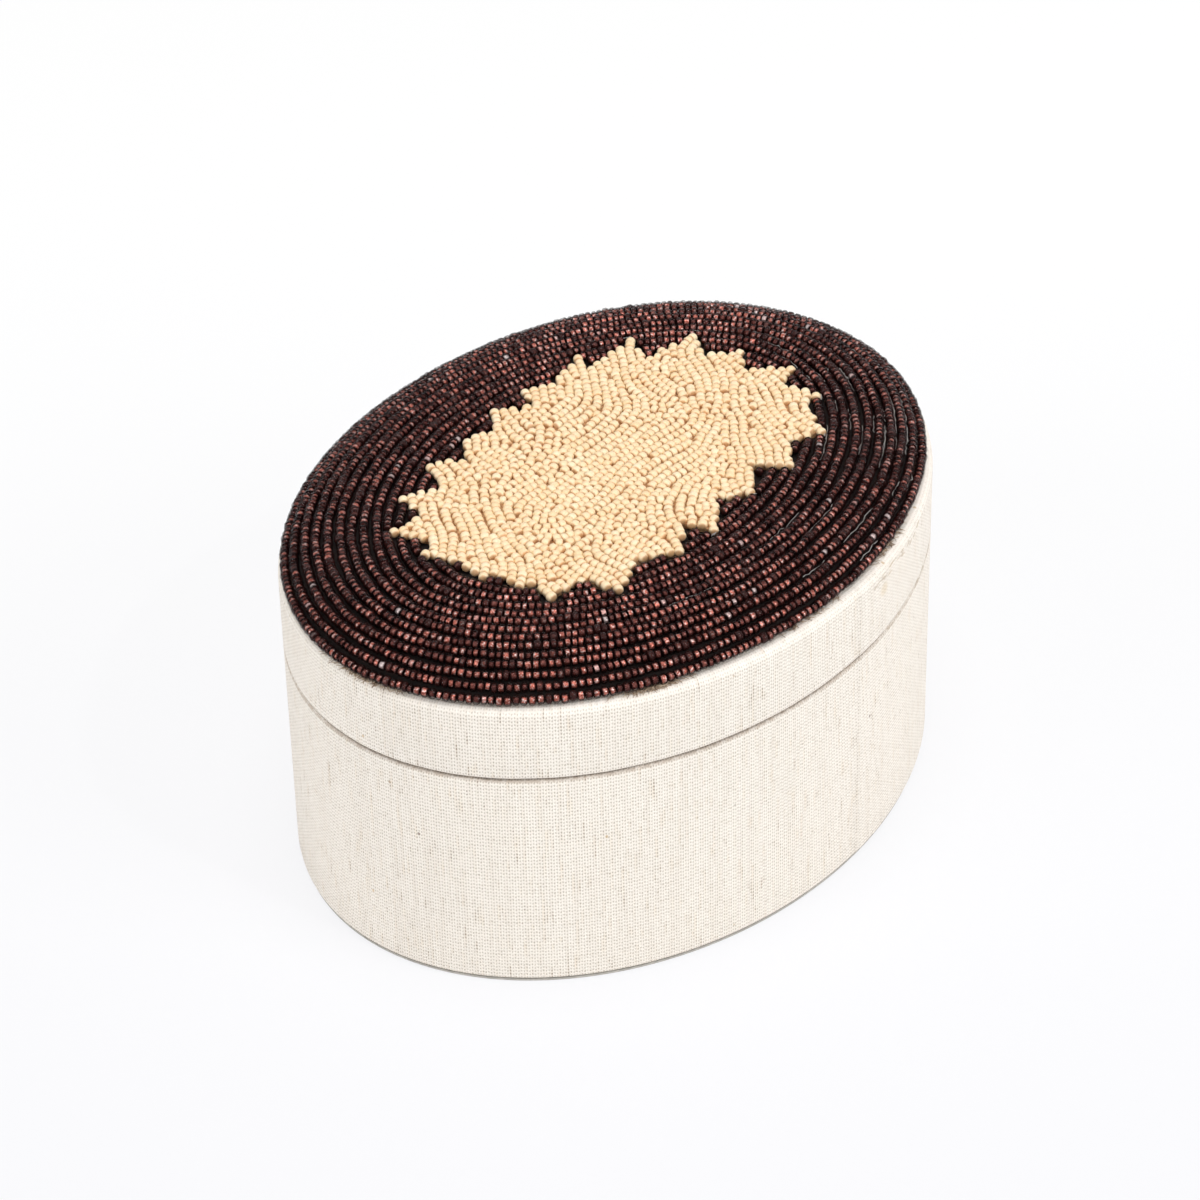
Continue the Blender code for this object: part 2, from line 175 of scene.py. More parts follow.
class KeepsakeBeadSettings(bpy.types.PropertyGroup):
    """Sizes and colours of the beads and of the dome that they lie on."""
    dark_diameter: FloatProperty(
        name="Dark bead", description="Diameter of a dark bead", default=0.00205, unit="LENGTH")
    dark_length: FloatProperty(
        name="Dark bead length", description="Length of a dark bead along its thread",
        default=0.00139, unit="LENGTH")
    row_gap: FloatProperty(
        name="Row gap", description="Between one strand and the next", default=0.0003, unit="LENGTH")
    cream_diameter: FloatProperty(
        name="Cream bead", description="Diameter of a cream bead", default=0.00198, unit="LENGTH")
    cream_length: FloatProperty(
        name="Cream bead length", description="Length of a cream bead along its thread",
        default=0.00152, unit="LENGTH")
    sunburst_shift: FloatVectorProperty(
        name="Sunburst shift", description="How far the sunburst was sewn off the panel's middle",
        default=(0.0012, 0.0008), size=2, subtype="XYZ_LENGTH")
    whole_strands: IntProperty(
        name="Whole strands", description="Strands of dark beads that pass clear of the sunburst",
        default=9, min=1)
    dome_rise: FloatProperty(
        name="Dome", description="Rise of the padded panel", default=0.0042, unit="LENGTH")
    shoulder_run: FloatProperty(
        name="Shoulder", description="How fast the dome levels out", default=0.0050, unit="LENGTH")
    glass: FloatVectorProperty(
        name="Dark glass", description="Colour of the dark glass", default=(0.010, 0.004, 0.004, 1.0),
        size=4, subtype="COLOR", min=0, max=1)
    lining: FloatVectorProperty(
        name="Copper lining", description="Colour of the metal that lines a dark bead",
        default=(0.80, 0.23, 0.165, 1.0), size=4, subtype="COLOR", min=0, max=1)
    cream: FloatVectorProperty(
        name="Cream glass", description="Colour of the cream beads", default=(0.93, 0.72, 0.46, 1.0),
        size=4, subtype="COLOR", min=0, max=1)


class KeepsakeStudioSettings(bpy.types.PropertyGroup):
    """Camera and lamps of the studio."""
    azimuth: FloatProperty(
        name="Azimuth", description="Turn of the camera round the box", default=math.radians(-53.345),
        subtype="ANGLE")
    elevation: FloatProperty(
        name="Elevation", description="Height of the camera above the horizon",
        default=math.radians(36.0), subtype="ANGLE")
    roll: FloatProperty(
        name="Roll", description="Tilt of the camera", default=math.radians(-1.253), subtype="ANGLE")
    distance: FloatProperty(
        name="Distance", description="From the camera to the middle of the box", default=0.8536,
        unit="LENGTH")
    aim_height: FloatProperty(
        name="Aim", description="Height that the camera is aimed at", default=0.0334, unit="LENGTH")
    lens: FloatProperty(name="Lens", description="Focal length in millimetres", default=127.56)
    shift: FloatVectorProperty(
        name="Shift", description="Shift of the lens, as shares of the picture",
        default=(-0.0110, 0.0234), size=2)
    key_power: FloatProperty(name="Key lamp", description="Power of the main lamp", default=8.5,
                             subtype="POWER")
    fill_power: FloatProperty(name="Fill lamp", description="Power of the second lamp", default=8.0,
                              subtype="POWER")
    spark_power: FloatProperty(name="Small lamp", description="Power of the lamp that glints on the beads",
                               default=2.0, subtype="POWER")
    overhead_power: FloatProperty(name="Overhead lamp", description="Power of the lamp over the box",
                                  default=5.8, subtype="POWER")
    side_power: FloatProperty(name="Side lamp", description="Power of the lamp at the right",
                              default=1.4, subtype="POWER")
    sky: FloatProperty(name="Sky", description="Strength of the light from all round", default=0.36)


def cloth_settings():
    return bpy.context.scene.keepsake_cloth


def bead_settings():
    return bpy.context.scene.keepsake_beads


class Reading:
    """One socket of a node. Sums written with it become Math nodes."""

    def __init__(self, nodes, socket):
        self.nodes = nodes
        self.socket = socket

    def maths(self, operation, *others):
        return self.nodes.node("ShaderNodeMath", {"operation": operation},
                               dict(enumerate((self, *others))))

    def __add__(self, other):
        return self.maths("ADD", other)

    __radd__ = __add__

    def __sub__(self, other):
        return self.maths("SUBTRACT", other)

    def __rsub__(self, other):
        return self.maths("MULTIPLY_ADD", -1.0, other)

    def __mul__(self, other):
        return self.maths("MULTIPLY", other)

    __rmul__ = __mul__

    def __truediv__(self, other):
        return self.maths("DIVIDE", other)

    def __pow__(self, other):
        return self.maths("POWER", other)

    def floor(self):
        return self.maths("FLOOR")

    def sine(self):
        return self.maths("SINE")

    def ramp(self, low, high):
        """0 below low and 1 above high, smooth between them."""
        return self.nodes.node("ShaderNodeMapRange", {"interpolation_type": "SMOOTHSTEP"},
                               {"Value": self, "From Min": low, "From Max": high})

    def above(self, level, spread):
        """0 up to a level, and 1 from a spread above it."""
        return (self - level).ramp(0.0, spread)

    def below(self, level, spread):
        """0 from a level upwards, and 1 from a spread below it."""
        return (level - self).ramp(0.0, spread)


class Nodes:
    """The nodes of a material or of the sky, each made and joined by these two methods."""

    def __init__(self, tree):
        self.tree = tree

    def node(self, kind, settings=None, values=None, output=0):
        made = self.tree.nodes.new(kind)
        for setting, value in (settings or {}).items():
            setattr(made, setting, value)
        for socket, value in (values or {}).items():
            self.join(value, made.inputs[socket])
        return Reading(self, made.outputs[output])

    def join(self, value, socket):
        """Links a reading to a socket, or sets the socket's value. A colour may leave out alpha."""
        if isinstance(value, Reading):
            self.tree.links.new(value.socket, socket)
        elif socket.type == "RGBA" and len(value) == 3:
            socket.default_value = (*value, 1.0)
        else:
            socket.default_value = value

    def light_path(self, ray):
        return self.node("ShaderNodeLightPath", output=ray)


class Finish(Nodes):
    """A material, built by joining the sockets of its nodes."""

    def __init__(self, name, **values):
        self.material = bpy.data.materials.new(name)
        self.material.use_nodes = True
        super().__init__(self.material.node_tree)
        self.surface = self.tree.nodes["Principled BSDF"]
        for socket, value in values.items():
            self.give(socket.replace("_", " "), value)

    def give(self, socket, value):
        self.join(value, self.surface.inputs[socket])

    def mix(self, share, first, second):
        return self.node("ShaderNodeMix", {"data_type": "RGBA"}, {0: share, 6: first, 7: second}, 2)

    def place(self):
        return self.node("ShaderNodeTexCoord", output="Object")

    def cloth_map(self):
        """Lengths over the cloth: round the box from the join, and along the section."""
        around, along, _ = self.apart(self.node("ShaderNodeUVMap", {"uv_map": "cloth"}))
        return around, along

    def apart(self, vector):
        split = self.node("ShaderNodeSeparateXYZ", values={0: vector}).socket.node
        return [Reading(self, socket) for socket in split.outputs]

    def point(self, *parts):
        return self.node("ShaderNodeCombineXYZ", values=dict(enumerate(parts)))

    def grain(self, vector, scale, detail=2.0, roughness=0.5):
        return self.node("ShaderNodeTexNoise",
                         values={"Vector": vector, "Scale": scale, "Detail": detail,
                                 "Roughness": roughness})

    def patches(self, across, along, layer, detail=2.0, roughness=0.5):
        """Grain over the cloth. The same place on another layer gives another pattern."""
        return self.grain(self.point(across, along, layer), 1.0, detail, roughness)

    def cells(self, vector, scale, output="Distance"):
        return self.node("ShaderNodeTexVoronoi", values={"Vector": vector, "Scale": scale},
                         output=output)

    def facing(self):
        return self.node("ShaderNodeLayerWeight", values={"Blend": 0.5}, output="Facing")

    def attribute(self, name):
        return self.node("ShaderNodeAttribute", {"attribute_name": name}, output="Fac")

    def bump(self, height, depth, strength=1.0):
        """Makes the surface's normal follow a height from 0 to 1, times a depth in metres."""
        relief = self.node("ShaderNodeBump", values={"Strength": strength, "Distance": depth,
                                                     "Height": height})
        self.give("Normal", relief)


# Colours of linen and cotton, beside those in the sidebar
DULL_THREAD = (0.62, 0.52, 0.42)
DULL_CLOUD = (0.80, 0.72, 0.62)
DULL_STITCH = (0.66, 0.58, 0.49)
STRAW_THREAD = (0.84, 0.68, 0.48)
# Painted shade in the gaps of the linen's weave, the second for gaps beside raw threads
WEAVE_GAP_SHADE = (0.52, 0.46, 0.39)
RAW_GAP_SHADE = (0.26, 0.19, 0.13)
GLUE_STAIN = (0.70, 0.55, 0.34)
STRAW_FLECK = (0.60, 0.42, 0.22)
BROWN_FLECK = (0.16, 0.09, 0.05)
WORN_FOLD = (0.42, 0.31, 0.22)
JOIN_SHADE = (0.45, 0.38, 0.30)
LIP_SHADE = (0.13, 0.08, 0.055)
AGED_COTTON = (0.66, 0.57, 0.45)
RAW_COTTON = (0.58, 0.47, 0.35)
COTTON_GAP_SHADE = (0.38, 0.31, 0.24)
NAP_SHADE = (0.005, 0.003, 0.003)
NAP = (0.020, 0.010, 0.007)
RUSTY_EDGE = (0.30, 0.19, 0.11)

# Colours of board, paper and foam
PULP_SHADE = (0.30, 0.27, 0.24)
PULP = (0.50, 0.46, 0.41)
PULP_LAYER = (0.24, 0.21, 0.18)
PAPER_SHADE = (0.43, 0.41, 0.38)
PAPER = (0.56, 0.54, 0.50)
RUBBED_PAPER = (0.34, 0.32, 0.31)
FOAM_CELL = (0.70, 0.66, 0.55)
FOAM = (0.90, 0.88, 0.80)

# Colours of glass, copper and thread
MAROON_GLASS = (0.034, 0.010, 0.009)
DULL_COPPER = (0.10, 0.025, 0.020)
COPPER_CREASE_SHADE = (0.16, 0.035, 0.028)
COPPER_GLINT = (1.0, 0.76, 0.71)
SILVERED_AND_GLINT_LINING = (0.92, 0.76, 0.74)
LINING_SIDE_SHADE = (0.06, 0.012, 0.010)
PEACH_CREAM = (0.90, 0.67, 0.40)
PALE_CREAM = (0.95, 0.78, 0.53)
HOLE_AND_NOTCH_SHADE = (0.60, 0.30, 0.12)
PEACH_THREAD_SHADE = (0.40, 0.19, 0.08)
PEACH_THREAD_AND_BOUNCE = (0.70, 0.42, 0.22)
CLEAR_THREAD_SHADE = (0.42, 0.39, 0.37)
CLEAR_THREAD = (0.86, 0.83, 0.80)
BROWN_FIBRE = (0.20, 0.12, 0.07)
STRAW_FIBRE = (0.62, 0.50, 0.37)

# Marks on the linen
STAIN_AT = (0.0088, 0.0600)     # round the box from the join, and above the floor
STAIN_RADIUS = 0.0021
FLECKS_PER_METRE = (190, 150)
FLECK_SIZE = 0.078              # as a share of the distance between flecks
PRESSED_DEPTH = 0.0018          # how far below the rim the weave begins to be pressed flat


def woven(finish, across, along, warp, weft):
    """A plain weave on two lengths over the cloth: its relief, its gaps, which carry painted shade between
    the threads, and uneven stitches.
    """
    wander = finish.patches(across * 70, along * 40, 0, 1.0)
    ripple = (across * (math.pi / warp)).sine()
    ribs = (along * (math.tau / weft) + wander * 2.2 + ripple * 0.8).sine()
    columns = (across * (math.tau / warp)).sine()
    relief = ribs * 0.30 + columns * 0.20 + 0.5
    stitches = finish.patches((across / warp).floor() * 7.31, (along / weft).floor() * 5.17, 2, 0.0)
    gaps = (ribs * -0.62 - columns * 0.56).ramp(0.05, 0.95) * (0.35 + stitches * 1.2)
    return relief, gaps, stitches


def linen_finish(name):
    """Slubby plain-woven linen with raw threads, a join, flecks and a browned fold at the seam, with painted
    shade in the weave's gaps and along the lid's lower edge.
    """
    cloth = cloth_settings()
    finish = Finish(name, Roughness=0.92, Sheen_Weight=0.08, Sheen_Roughness=0.5)
    across, along = finish.cloth_map()
    relief, gaps, stitches = woven(finish, across, along, cloth.thread_across, cloth.thread_along)
    thread = (across / cloth.thread_across).floor()
    slubs = finish.patches(thread * 3.7, along * 150, 0).ramp(0.60, 0.76)
    brown = finish.patches(thread * 2.9, along * 260, 6, 1.0).ramp(0.68, 0.77)
    beside = (across * (math.tau / cloth.thread_across)).sine().ramp(0.6, -0.6)
    tints = finish.patches(thread * 5.3, along * 25, 4, 2.0, 0.7)
    clouds = finish.patches(across * 28, along * 14, 7)
    straws = finish.patches(thread * 0.83, along * 110, 11).ramp(0.52, 0.72)
    colour = finish.mix(slubs * (beside * 0.40 + 0.05), cloth.linen, cloth.slub)
    colour = finish.mix(tints.ramp(0.35, 0.80) * 0.20, colour, DULL_THREAD)
    colour = finish.mix(clouds.ramp(0.35, 0.75) * 0.08, colour, DULL_CLOUD)
    colour = finish.mix(straws * stitches * 0.40, colour, STRAW_THREAD)
    colour = finish.mix(stitches.ramp(0.55, 0.80) * 0.19, colour, DULL_STITCH)
    height = finish.apart(finish.place())[2]
    flat = 1.0 - height.above(RIM - PRESSED_DEPTH, 0.0017) * 0.50
    # Painted shade in the weave's gaps, browner beside raw threads and fainter where the weave is pressed
    # flat near the rim
    gap_shade_colour = finish.mix(slubs * 0.8 + brown * 0.9 + straws * 0.4, WEAVE_GAP_SHADE, RAW_GAP_SHADE)
    colour = finish.mix(gaps * (0.80 + slubs * 0.3) * flat, colour, gap_shade_colour)
    from_stain = ((across - STAIN_AT[0]) ** 2.0 + (height - STAIN_AT[1]) ** 2.0) ** 0.5
    colour = finish.mix(from_stain.below(STAIN_RADIUS, 0.0014) * 0.4, colour, GLUE_STAIN)
    fleck_point = finish.point(across * FLECKS_PER_METRE[0], along * FLECKS_PER_METRE[1], 0)
    from_fleck = finish.cells(fleck_point, 1.0)
    chosen, browner, _ = finish.apart(finish.cells(fleck_point, 1.0, "Color"))
    flecks = from_fleck.below(FLECK_SIZE, 0.035) * chosen.ramp(0.72, 0.74)
    fleck_colour = finish.mix(browner.ramp(0.35, 0.65), STRAW_FLECK, BROWN_FLECK)
    colour = finish.mix(flecks * 0.70, colour, fleck_colour)
    fold = height.above(BASE_TOP - 0.0007, 0.0006) * height.below(BASE_TOP + 0.0001, 0.0001)
    wear_and_shade_patches = finish.patches(across * 900, along * 900, 0).ramp(0.35, 0.65)
    colour = finish.mix(fold * (0.15 + wear_and_shade_patches * 0.40), colour, WORN_FOLD)
    colour = finish.mix(across.below(0.00040, 0.0003) * 0.12, colour, JOIN_SHADE)
    # Painted shade along the lid's lower edge over the seam, broken up by the same patches that wear the
    # fold
    seam_shade_mask = height.below(LID_UNDER + 0.00045, 0.0004) * height.above(LID_UNDER - 0.0002, 0.0001)
    finish.give("Base Color", finish.mix(seam_shade_mask * (0.45 + wear_and_shade_patches * 0.5), colour, LIP_SHADE))
    finish.bump(relief * 0.8 * flat + slubs * 0.2, 0.00016)
    return finish.material


def lining_finish(name):
    """Plain cotton for the inside, finer than the linen, with painted shade in its weave's gaps."""
    cloth = cloth_settings()
    finish = Finish(name, Roughness=0.94, Sheen_Weight=0.10, Sheen_Roughness=0.5)
    across, along = finish.cloth_map()
    relief, gaps, _ = woven(finish, across, along, cloth.thread_across * 0.75, cloth.thread_along * 0.6)
    clouds = finish.patches(across * 45, along * 45, 0, 3.0)
    streaks = finish.patches(across * 500, along * 40, 5).ramp(0.5, 0.85)
    colour = finish.mix(clouds.ramp(0.3, 0.8) * 0.15, cloth.lining, AGED_COTTON)
    colour = finish.mix(streaks * 0.18, colour, RAW_COTTON)
    # Painted shade in the gaps of the weave
    finish.give("Base Color", finish.mix(gaps * 0.22, colour, COTTON_GAP_SHADE))
    finish.bump(relief, 0.00010, 0.8)
    return finish.material


def greyboard_finish(name):
    """Grey pulp board with darker and paler fibres, layered at its cut edges."""
    finish = Finish(name, Roughness=0.95)
    place = finish.place()
    fibres = finish.grain(place, 900.0, 4.0, 0.7)
    layers = finish.apart(place)[2] * 3200
    colour = finish.mix(fibres.ramp(0.35, 0.70), PULP_SHADE, PULP)
    finish.give("Base Color", finish.mix(layers.sine().ramp(0.2, 1.0) * 0.12, colour, PULP_LAYER))
    finish.bump(fibres, 0.0001, 0.5)
    return finish.material


def foot_paper_finish(name):
    """Warm grey paper on the underside, rubbed darker round its edge."""
    finish = Finish(name, Roughness=0.88)
    place = finish.place()
    east, north, _ = finish.apart(place)
    pulp = finish.grain(place, 650.0, 5.0, 0.65)
    edge = ((east / HALF_BOX[0]) ** 2.0 + (north / HALF_BOX[1]) ** 2.0).ramp(0.86, 0.99)
    colour = finish.mix(pulp.ramp(0.3, 0.7), PAPER_SHADE, PAPER)
    finish.give("Base Color", finish.mix(edge * 0.10, colour, RUBBED_PAPER))
    finish.bump(pulp, 0.00008, 0.6)
    return finish.material


def foam_finish(name):
    """Open white foam."""
    finish = Finish(name, Roughness=0.97)
    cells = finish.cells(finish.place(), 1400.0)
    finish.give("Base Color", finish.mix(cells.ramp(0.2, 0.7), FOAM_CELL, FOAM))
    finish.bump(cells, 0.0003, 0.7)
    return finish.material


def backing_finish(name):
    """Dark brown cotton, nearly black between the strands and rustier at its cut edge."""
    finish = Finish(name, Roughness=0.96)
    place = finish.place()
    east, north, _ = finish.apart(place)
    reach = (east / HALF_PANEL[0]) ** 2.0 + ((north - PANEL_SHIFT) / HALF_PANEL[1]) ** 2.0
    nap = finish.grain(place, 2600.0, 3.0, 0.7)
    colour = finish.mix(nap.ramp(0.35, 0.7), NAP_SHADE, NAP)
    finish.give("Base Color", finish.mix(reach.ramp(0.988, 1.0) * nap, colour, RUSTY_EDGE))
    finish.bump(nap, 0.0002, 0.8)
    return finish.material


def dark_glass_finish(name):
    """Nearly black maroon glass, clear enough to show the lining in the bead."""
    finish = Finish(name, Roughness=0.10, IOR=1.36, Specular_IOR_Level=0.26)
    tone = finish.attribute("tone")
    finish.give("Base Color", finish.mix(tone, bead_settings().glass, MAROON_GLASS))
    deep = finish.facing().ramp(0.55, 0.85).maths("MAXIMUM", finish.attribute("end").ramp(0.1, 0.8))
    finish.give("Alpha", (0.26 + tone.ramp(0.86, 0.94) * 0.40 + deep * 0.74).maths("MINIMUM", 1.0))
    return finish.material


def copper_lining_finish(name):
    """The foil-bright copper that lines each dark bead, duller in some than in others, with painted glints,
    and painted shade in its crinkles and at its sides.
    """
    finish = Finish(name, Metallic=0.6, Roughness=0.24)
    tone = finish.attribute("tone")
    colour = finish.mix(tone.ramp(0.0, 0.95), DULL_COPPER, bead_settings().lining)
    crinkle = finish.grain(finish.place(), 2600.0, 1.0)
    # Painted shade in the dips of the crinkle
    colour = finish.mix(crinkle.ramp(0.46, 0.34) * 0.7, colour, COPPER_CREASE_SHADE)
    # Painted highlights: pale glints on the crests of the crinkle
    glints = crinkle.ramp(0.54, 0.66) * tone.ramp(0.2, 0.6)
    colour = finish.mix(glints * 0.95, colour, COPPER_GLINT)
    # A few beads get a pale lining: partly silver-lined beads, partly a painted highlight for their white
    # glints
    colour = finish.mix(tone.ramp(0.975, 1.0), colour, SILVERED_AND_GLINT_LINING)
    # Painted shade where the lining turns away from the view
    finish.give("Base Color", finish.mix(finish.facing().ramp(0.50, 0.90), colour, LINING_SIDE_SHADE))
    finish.bump(crinkle, 0.00012)
    return finish.material


def cream_glass_finish(name):
    """Opaque cream glass with a soft shine. Some beads are paler or more like peach. Their ends are darker
    and oranger, partly where the hole shows and partly painted shade in the notches between beads.
    """
    finish = Finish(name, Roughness=0.32, Subsurface_Weight=0.05, Subsurface_Scale=0.0006,
                    Subsurface_Radius=(1.0, 0.5, 0.25))
    tone = finish.attribute("tone")
    colour = finish.mix(tone.ramp(0.0, 0.5), PEACH_CREAM, bead_settings().cream)
    colour = finish.mix(tone.ramp(0.7, 1.0), colour, PALE_CREAM)
    # Darker ends: partly the hole showing there, partly painted shade in the notches between beads
    hole = finish.attribute("end").ramp(0.40, 1.0)
    finish.give("Base Color", finish.mix(hole * 0.70, colour, HOLE_AND_NOTCH_SHADE))
    return finish.material


def cream_thread_and_bounce_finish(name):
    """Peach thread that fills the space under the cream beads, its colour raised to stand for light bounced
    between the beads: partly painted light.
    """
    finish = Finish(name, Roughness=0.9)
    strands = finish.grain(finish.place(), 1500.0, 3.0, 0.6)
    # Partly painted light: the thread's colour is raised to stand for light bounced between the cream beads
    finish.give("Base Color", finish.mix(strands.ramp(0.3, 0.7), PEACH_THREAD_SHADE, PEACH_THREAD_AND_BOUNCE))
    finish.bump(strands, 0.0003, 0.8)
    return finish.material


def clear_thread_finish(name):
    """Pale translucent thread that ties the strands down."""
    finish = Finish(name, Roughness=0.35, Alpha=0.75)
    grain = finish.grain(finish.place(), 700.0)
    finish.give("Base Color", finish.mix(grain, CLEAR_THREAD_SHADE, CLEAR_THREAD))
    return finish.material


def fibre_finish(name):
    """Brown and straw-coloured fibres of a cut cloth edge."""
    finish = Finish(name, Roughness=0.85)
    finish.give("Base Color", finish.mix(finish.attribute("tone"), BROWN_FIBRE, STRAW_FIBRE))
    return finish.material


FINISHES = {
    "slubby_linen": linen_finish,
    "cotton_lining": lining_finish,
    "pulp_board": greyboard_finish,
    "foot_wrap": foot_paper_finish,
    "open_foam": foam_finish,
    "bead_cloth": backing_finish,
    "dark_glass": dark_glass_finish,
    "copper_lining": copper_lining_finish,
    "cream_glass": cream_glass_finish,
    "bed_thread": cream_thread_and_bounce_finish,
    "clear_thread": clear_thread_finish,
    "frayed_fibre": fibre_finish,
}


def finish_named(name):
    return bpy.data.materials.get(name) or FINISHES[name](name)


def add_piece(name, shape, finish, body, stands_for=(), sharp=math.radians(40)):
    """Turns a finished bmesh into a piece that rides on a body and stands for CAD nodes."""
    mesh = bpy.data.meshes.new(name)
    shape.to_mesh(mesh)
    shape.free()
    mesh.materials.append(finish_named(finish))
    mesh.shade_smooth()
    mesh.set_sharp_from_angle(angle=sharp)
    piece = bpy.data.objects.new(name, mesh)
    bpy.context.scene.collection.objects.link(piece)
    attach(piece, body)
    if stands_for:
        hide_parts(*stands_for)
    return piece


def thicken(piece, thickness):
    """Gives a sheet its thickness, on the side away from its face."""
    cloth = piece.modifiers.new("Thickness", "SOLIDIFY")
    cloth.thickness = thickness
    cloth.offset = -1
    cloth.use_even_offset = True


def rounded(corners, radius, first_radius=None, steps=4):
    """A section whose right-angled corners are replaced by arcs. The first may be wider."""
    points = [Vector(corner) for corner in corners]
    section = points[:1]
    for before, corner, after in zip(points, points[1:], points[2:]):
        reach = first_radius if first_radius and corner == points[1] else radius
        arriving = (corner - before).normalized()
        leaving = (after - corner).normalized()
        centre = corner + (leaving - arriving) * reach
        for step in range(steps + 1):
            turn = step / steps * math.pi / 2
            section.append(centre + (arriving * math.sin(turn) - leaving * math.cos(turn)) * reach)
    return section + points[-1:]


def edges_of(ring):
    """The edges that join a ring of corners."""
    return list({edge for vert in ring for edge in vert.link_edges})


def extruded(shape, edges):
    """Extrudes a ring of edges. Gives the new ring's corners and edges."""
    grown = bmesh.ops.extrude_edge_only(shape, edges=edges)["geom"]
    return ([part for part in grown if isinstance(part, bmesh.types.BMVert)],
            [part for part in grown if isinstance(part, bmesh.types.BMEdge)])


def fill_rings(shape, *rings):
    for edges in rings:
        bmesh.ops.edgeloop_fill(shape, edges=edges)


def face_outwards(shape):
    bmesh.ops.recalc_face_normals(shape, faces=shape.faces)


def oval_ring(shape, half_sizes, inset, height):
    """A ring of edges that starts where the cloth's ends meet."""
    around = shape.verts.layers.float.get("around") or shape.verts.layers.float.new("around")
    along = shape.verts.layers.float.get("along") or shape.verts.layers.float.new("along")
    stretch = Matrix.Diagonal((half_sizes[0] - inset, half_sizes[1] - inset, 1, 1))
    place = Matrix.Translation((0, 0, height)) @ stretch @ Matrix.Rotation(JOIN_TURN - math.pi / 2, 4, "Z")
    ring = bmesh.ops.create_circle(shape, segments=RING_SEGMENTS, radius=1, matrix=place)["verts"]
    ring[-1].co = ring[0].co.lerp(ring[-1].co, JOIN_EDGE)
    gone, last = 0.0, None
    for vert in ring:
        outline = Vector((vert.co.x * half_sizes[0] / (half_sizes[0] - inset),
                          vert.co.y * half_sizes[1] / (half_sizes[1] - inset)))
        gone += (outline - last).length if last else 0.0
        last = outline
        vert[around] = gone
        vert[along] = 0.0
    return edges_of(ring)


def oval_sheet(half_sizes, section):
    """Carries a section, of insets and heights, round the oval. Gives its end rings too."""
    shape = bmesh.new()
    start = ring = oval_ring(shape, half_sizes, *section[0])
    along = shape.verts.layers.float["along"]
    gone = 0.0
    for here, there in zip(section, section[1:]):
        verts, ring = extruded(shape, ring)
        stretch = [(half - there[0]) / (half - here[0]) for half in half_sizes]
        bmesh.ops.scale(shape, verts=verts, vec=(*stretch, 1))
        bmesh.ops.translate(shape, verts=verts, vec=(0, 0, there[1] - here[1]))
        gone += (Vector(there) - Vector(here)).length
        for vert in verts:
            vert[along] = gone
    return shape, start, ring


def closed_oval(half_sizes, section):
    """An oval sheet with both of its ends filled."""
    shape, start, end = oval_sheet(half_sizes, section)
    fill_rings(shape, start, end)
    return shape


def lay_cloth_map(shape):
    """Maps the cloth in metres: round the box from the join, and along the section."""
    around = shape.verts.layers.float["around"]
    along = shape.verts.layers.float["along"]
    cloth_map = shape.loops.layers.uv.new("cloth")
    length = max(vert[around] for vert in shape.verts)
    step = JOIN_EDGE * length / RING_SEGMENTS
    for face in shape.faces:
        far = max(loop.vert[around] for loop in face.loops)
        for loop in face.loops:
            gone = loop.vert[around]
            if far - gone > length / 2:
                gone += length + step
            loop[cloth_map].uv = (gone, loop.vert[along])


def lay_flat_map(shape):
    """Maps a flat piece straight down, in metres."""
    cloth_map = shape.loops.layers.uv.new("cloth")
    for face in shape.faces:
        for loop in face.loops:
            loop[cloth_map].uv = loop.vert.co.xy


def unsettle(shape, height, reach, amount):
    """Makes a folded edge at this height wander a little, as hand-turned cloth does."""
    around = shape.verts.layers.float["around"]
    length = max(vert[around] for vert in shape.verts)
    for vert in shape.verts:
        near = 1 - abs(vert.co.z - height) / reach
        if near > 0:
            turn = math.tau * vert[around] / length
            wander = math.sin(7 * turn + 1.0) + math.sin(19 * turn + 4.0) + 0.8 * math.sin(43 * turn)
            vert.co.z += amount * near * wander / 2.8


def close_seam(shape):
    """Lets the base's top edge rise towards the lid where the photograph shows no gap."""
    for vert in shape.verts:
        turn = math.degrees(math.atan2(vert.co.y / HALF_BOX[1], vert.co.x / HALF_BOX[0])) % 360
        past = abs(turn - SEAM_OPEN_TURN) - SEAM_OPEN_SPREAD
        closed = min(1.0, max(0.0, past / SEAM_CLOSING_SPREAD))
        near = max(0.0, 1 - abs(vert.co.z - BASE_TOP) / EDGE_REACH)
        vert.co.z += SEAM_RISE * closed * near


def lap_join(shape):
    """Lays the cloth's outer end over its inner end on the wall, where they meet."""
    around = shape.verts.layers.float["around"]
    for vert in shape.verts:
        out = Vector((vert.co.x / HALF_BOX[0], vert.co.y / HALF_BOX[1], 0))
        if vert[around] < LAP_WIDTH and out.length > WALL_SHARE:
            vert.co += out.normalized() * LAP_DEPTH


def on_panel(turn, inset, height):
    """A point over the panel, at a turn round its oval and an inset from its edge."""
    return Vector(((HALF_PANEL[0] - inset) * math.cos(turn),
                   PANEL_SHIFT + (HALF_PANEL[1] - inset) * math.sin(turn), height))


def outwards_at(turn):
    """The level direction that points away from the panel's middle there."""
    return Vector((math.cos(turn) / HALF_PANEL[0], math.sin(turn) / HALF_PANEL[1], 0)).normalized()


def spread_inset(inset, turn):
    """Strands spread at the box's ends, where this makes their insets larger."""
    return inset * (1 + STRAND_SPREAD * math.cos(2 * turn))


def dome_point(inset, lift=0.0):
    """A point of the panel's section, lifted square to its cloth: its inset and its height."""
    beads = bead_settings()
    fall = math.exp(-inset / beads.shoulder_run)
    edge_top = SUNBURST_UNDER - SEAT - beads.dome_rise
    slope = math.atan(beads.dome_rise / beads.shoulder_run * fall)
    return (inset - lift * math.sin(slope),
            edge_top + beads.dome_rise * (1 - fall) + lift * math.cos(slope))


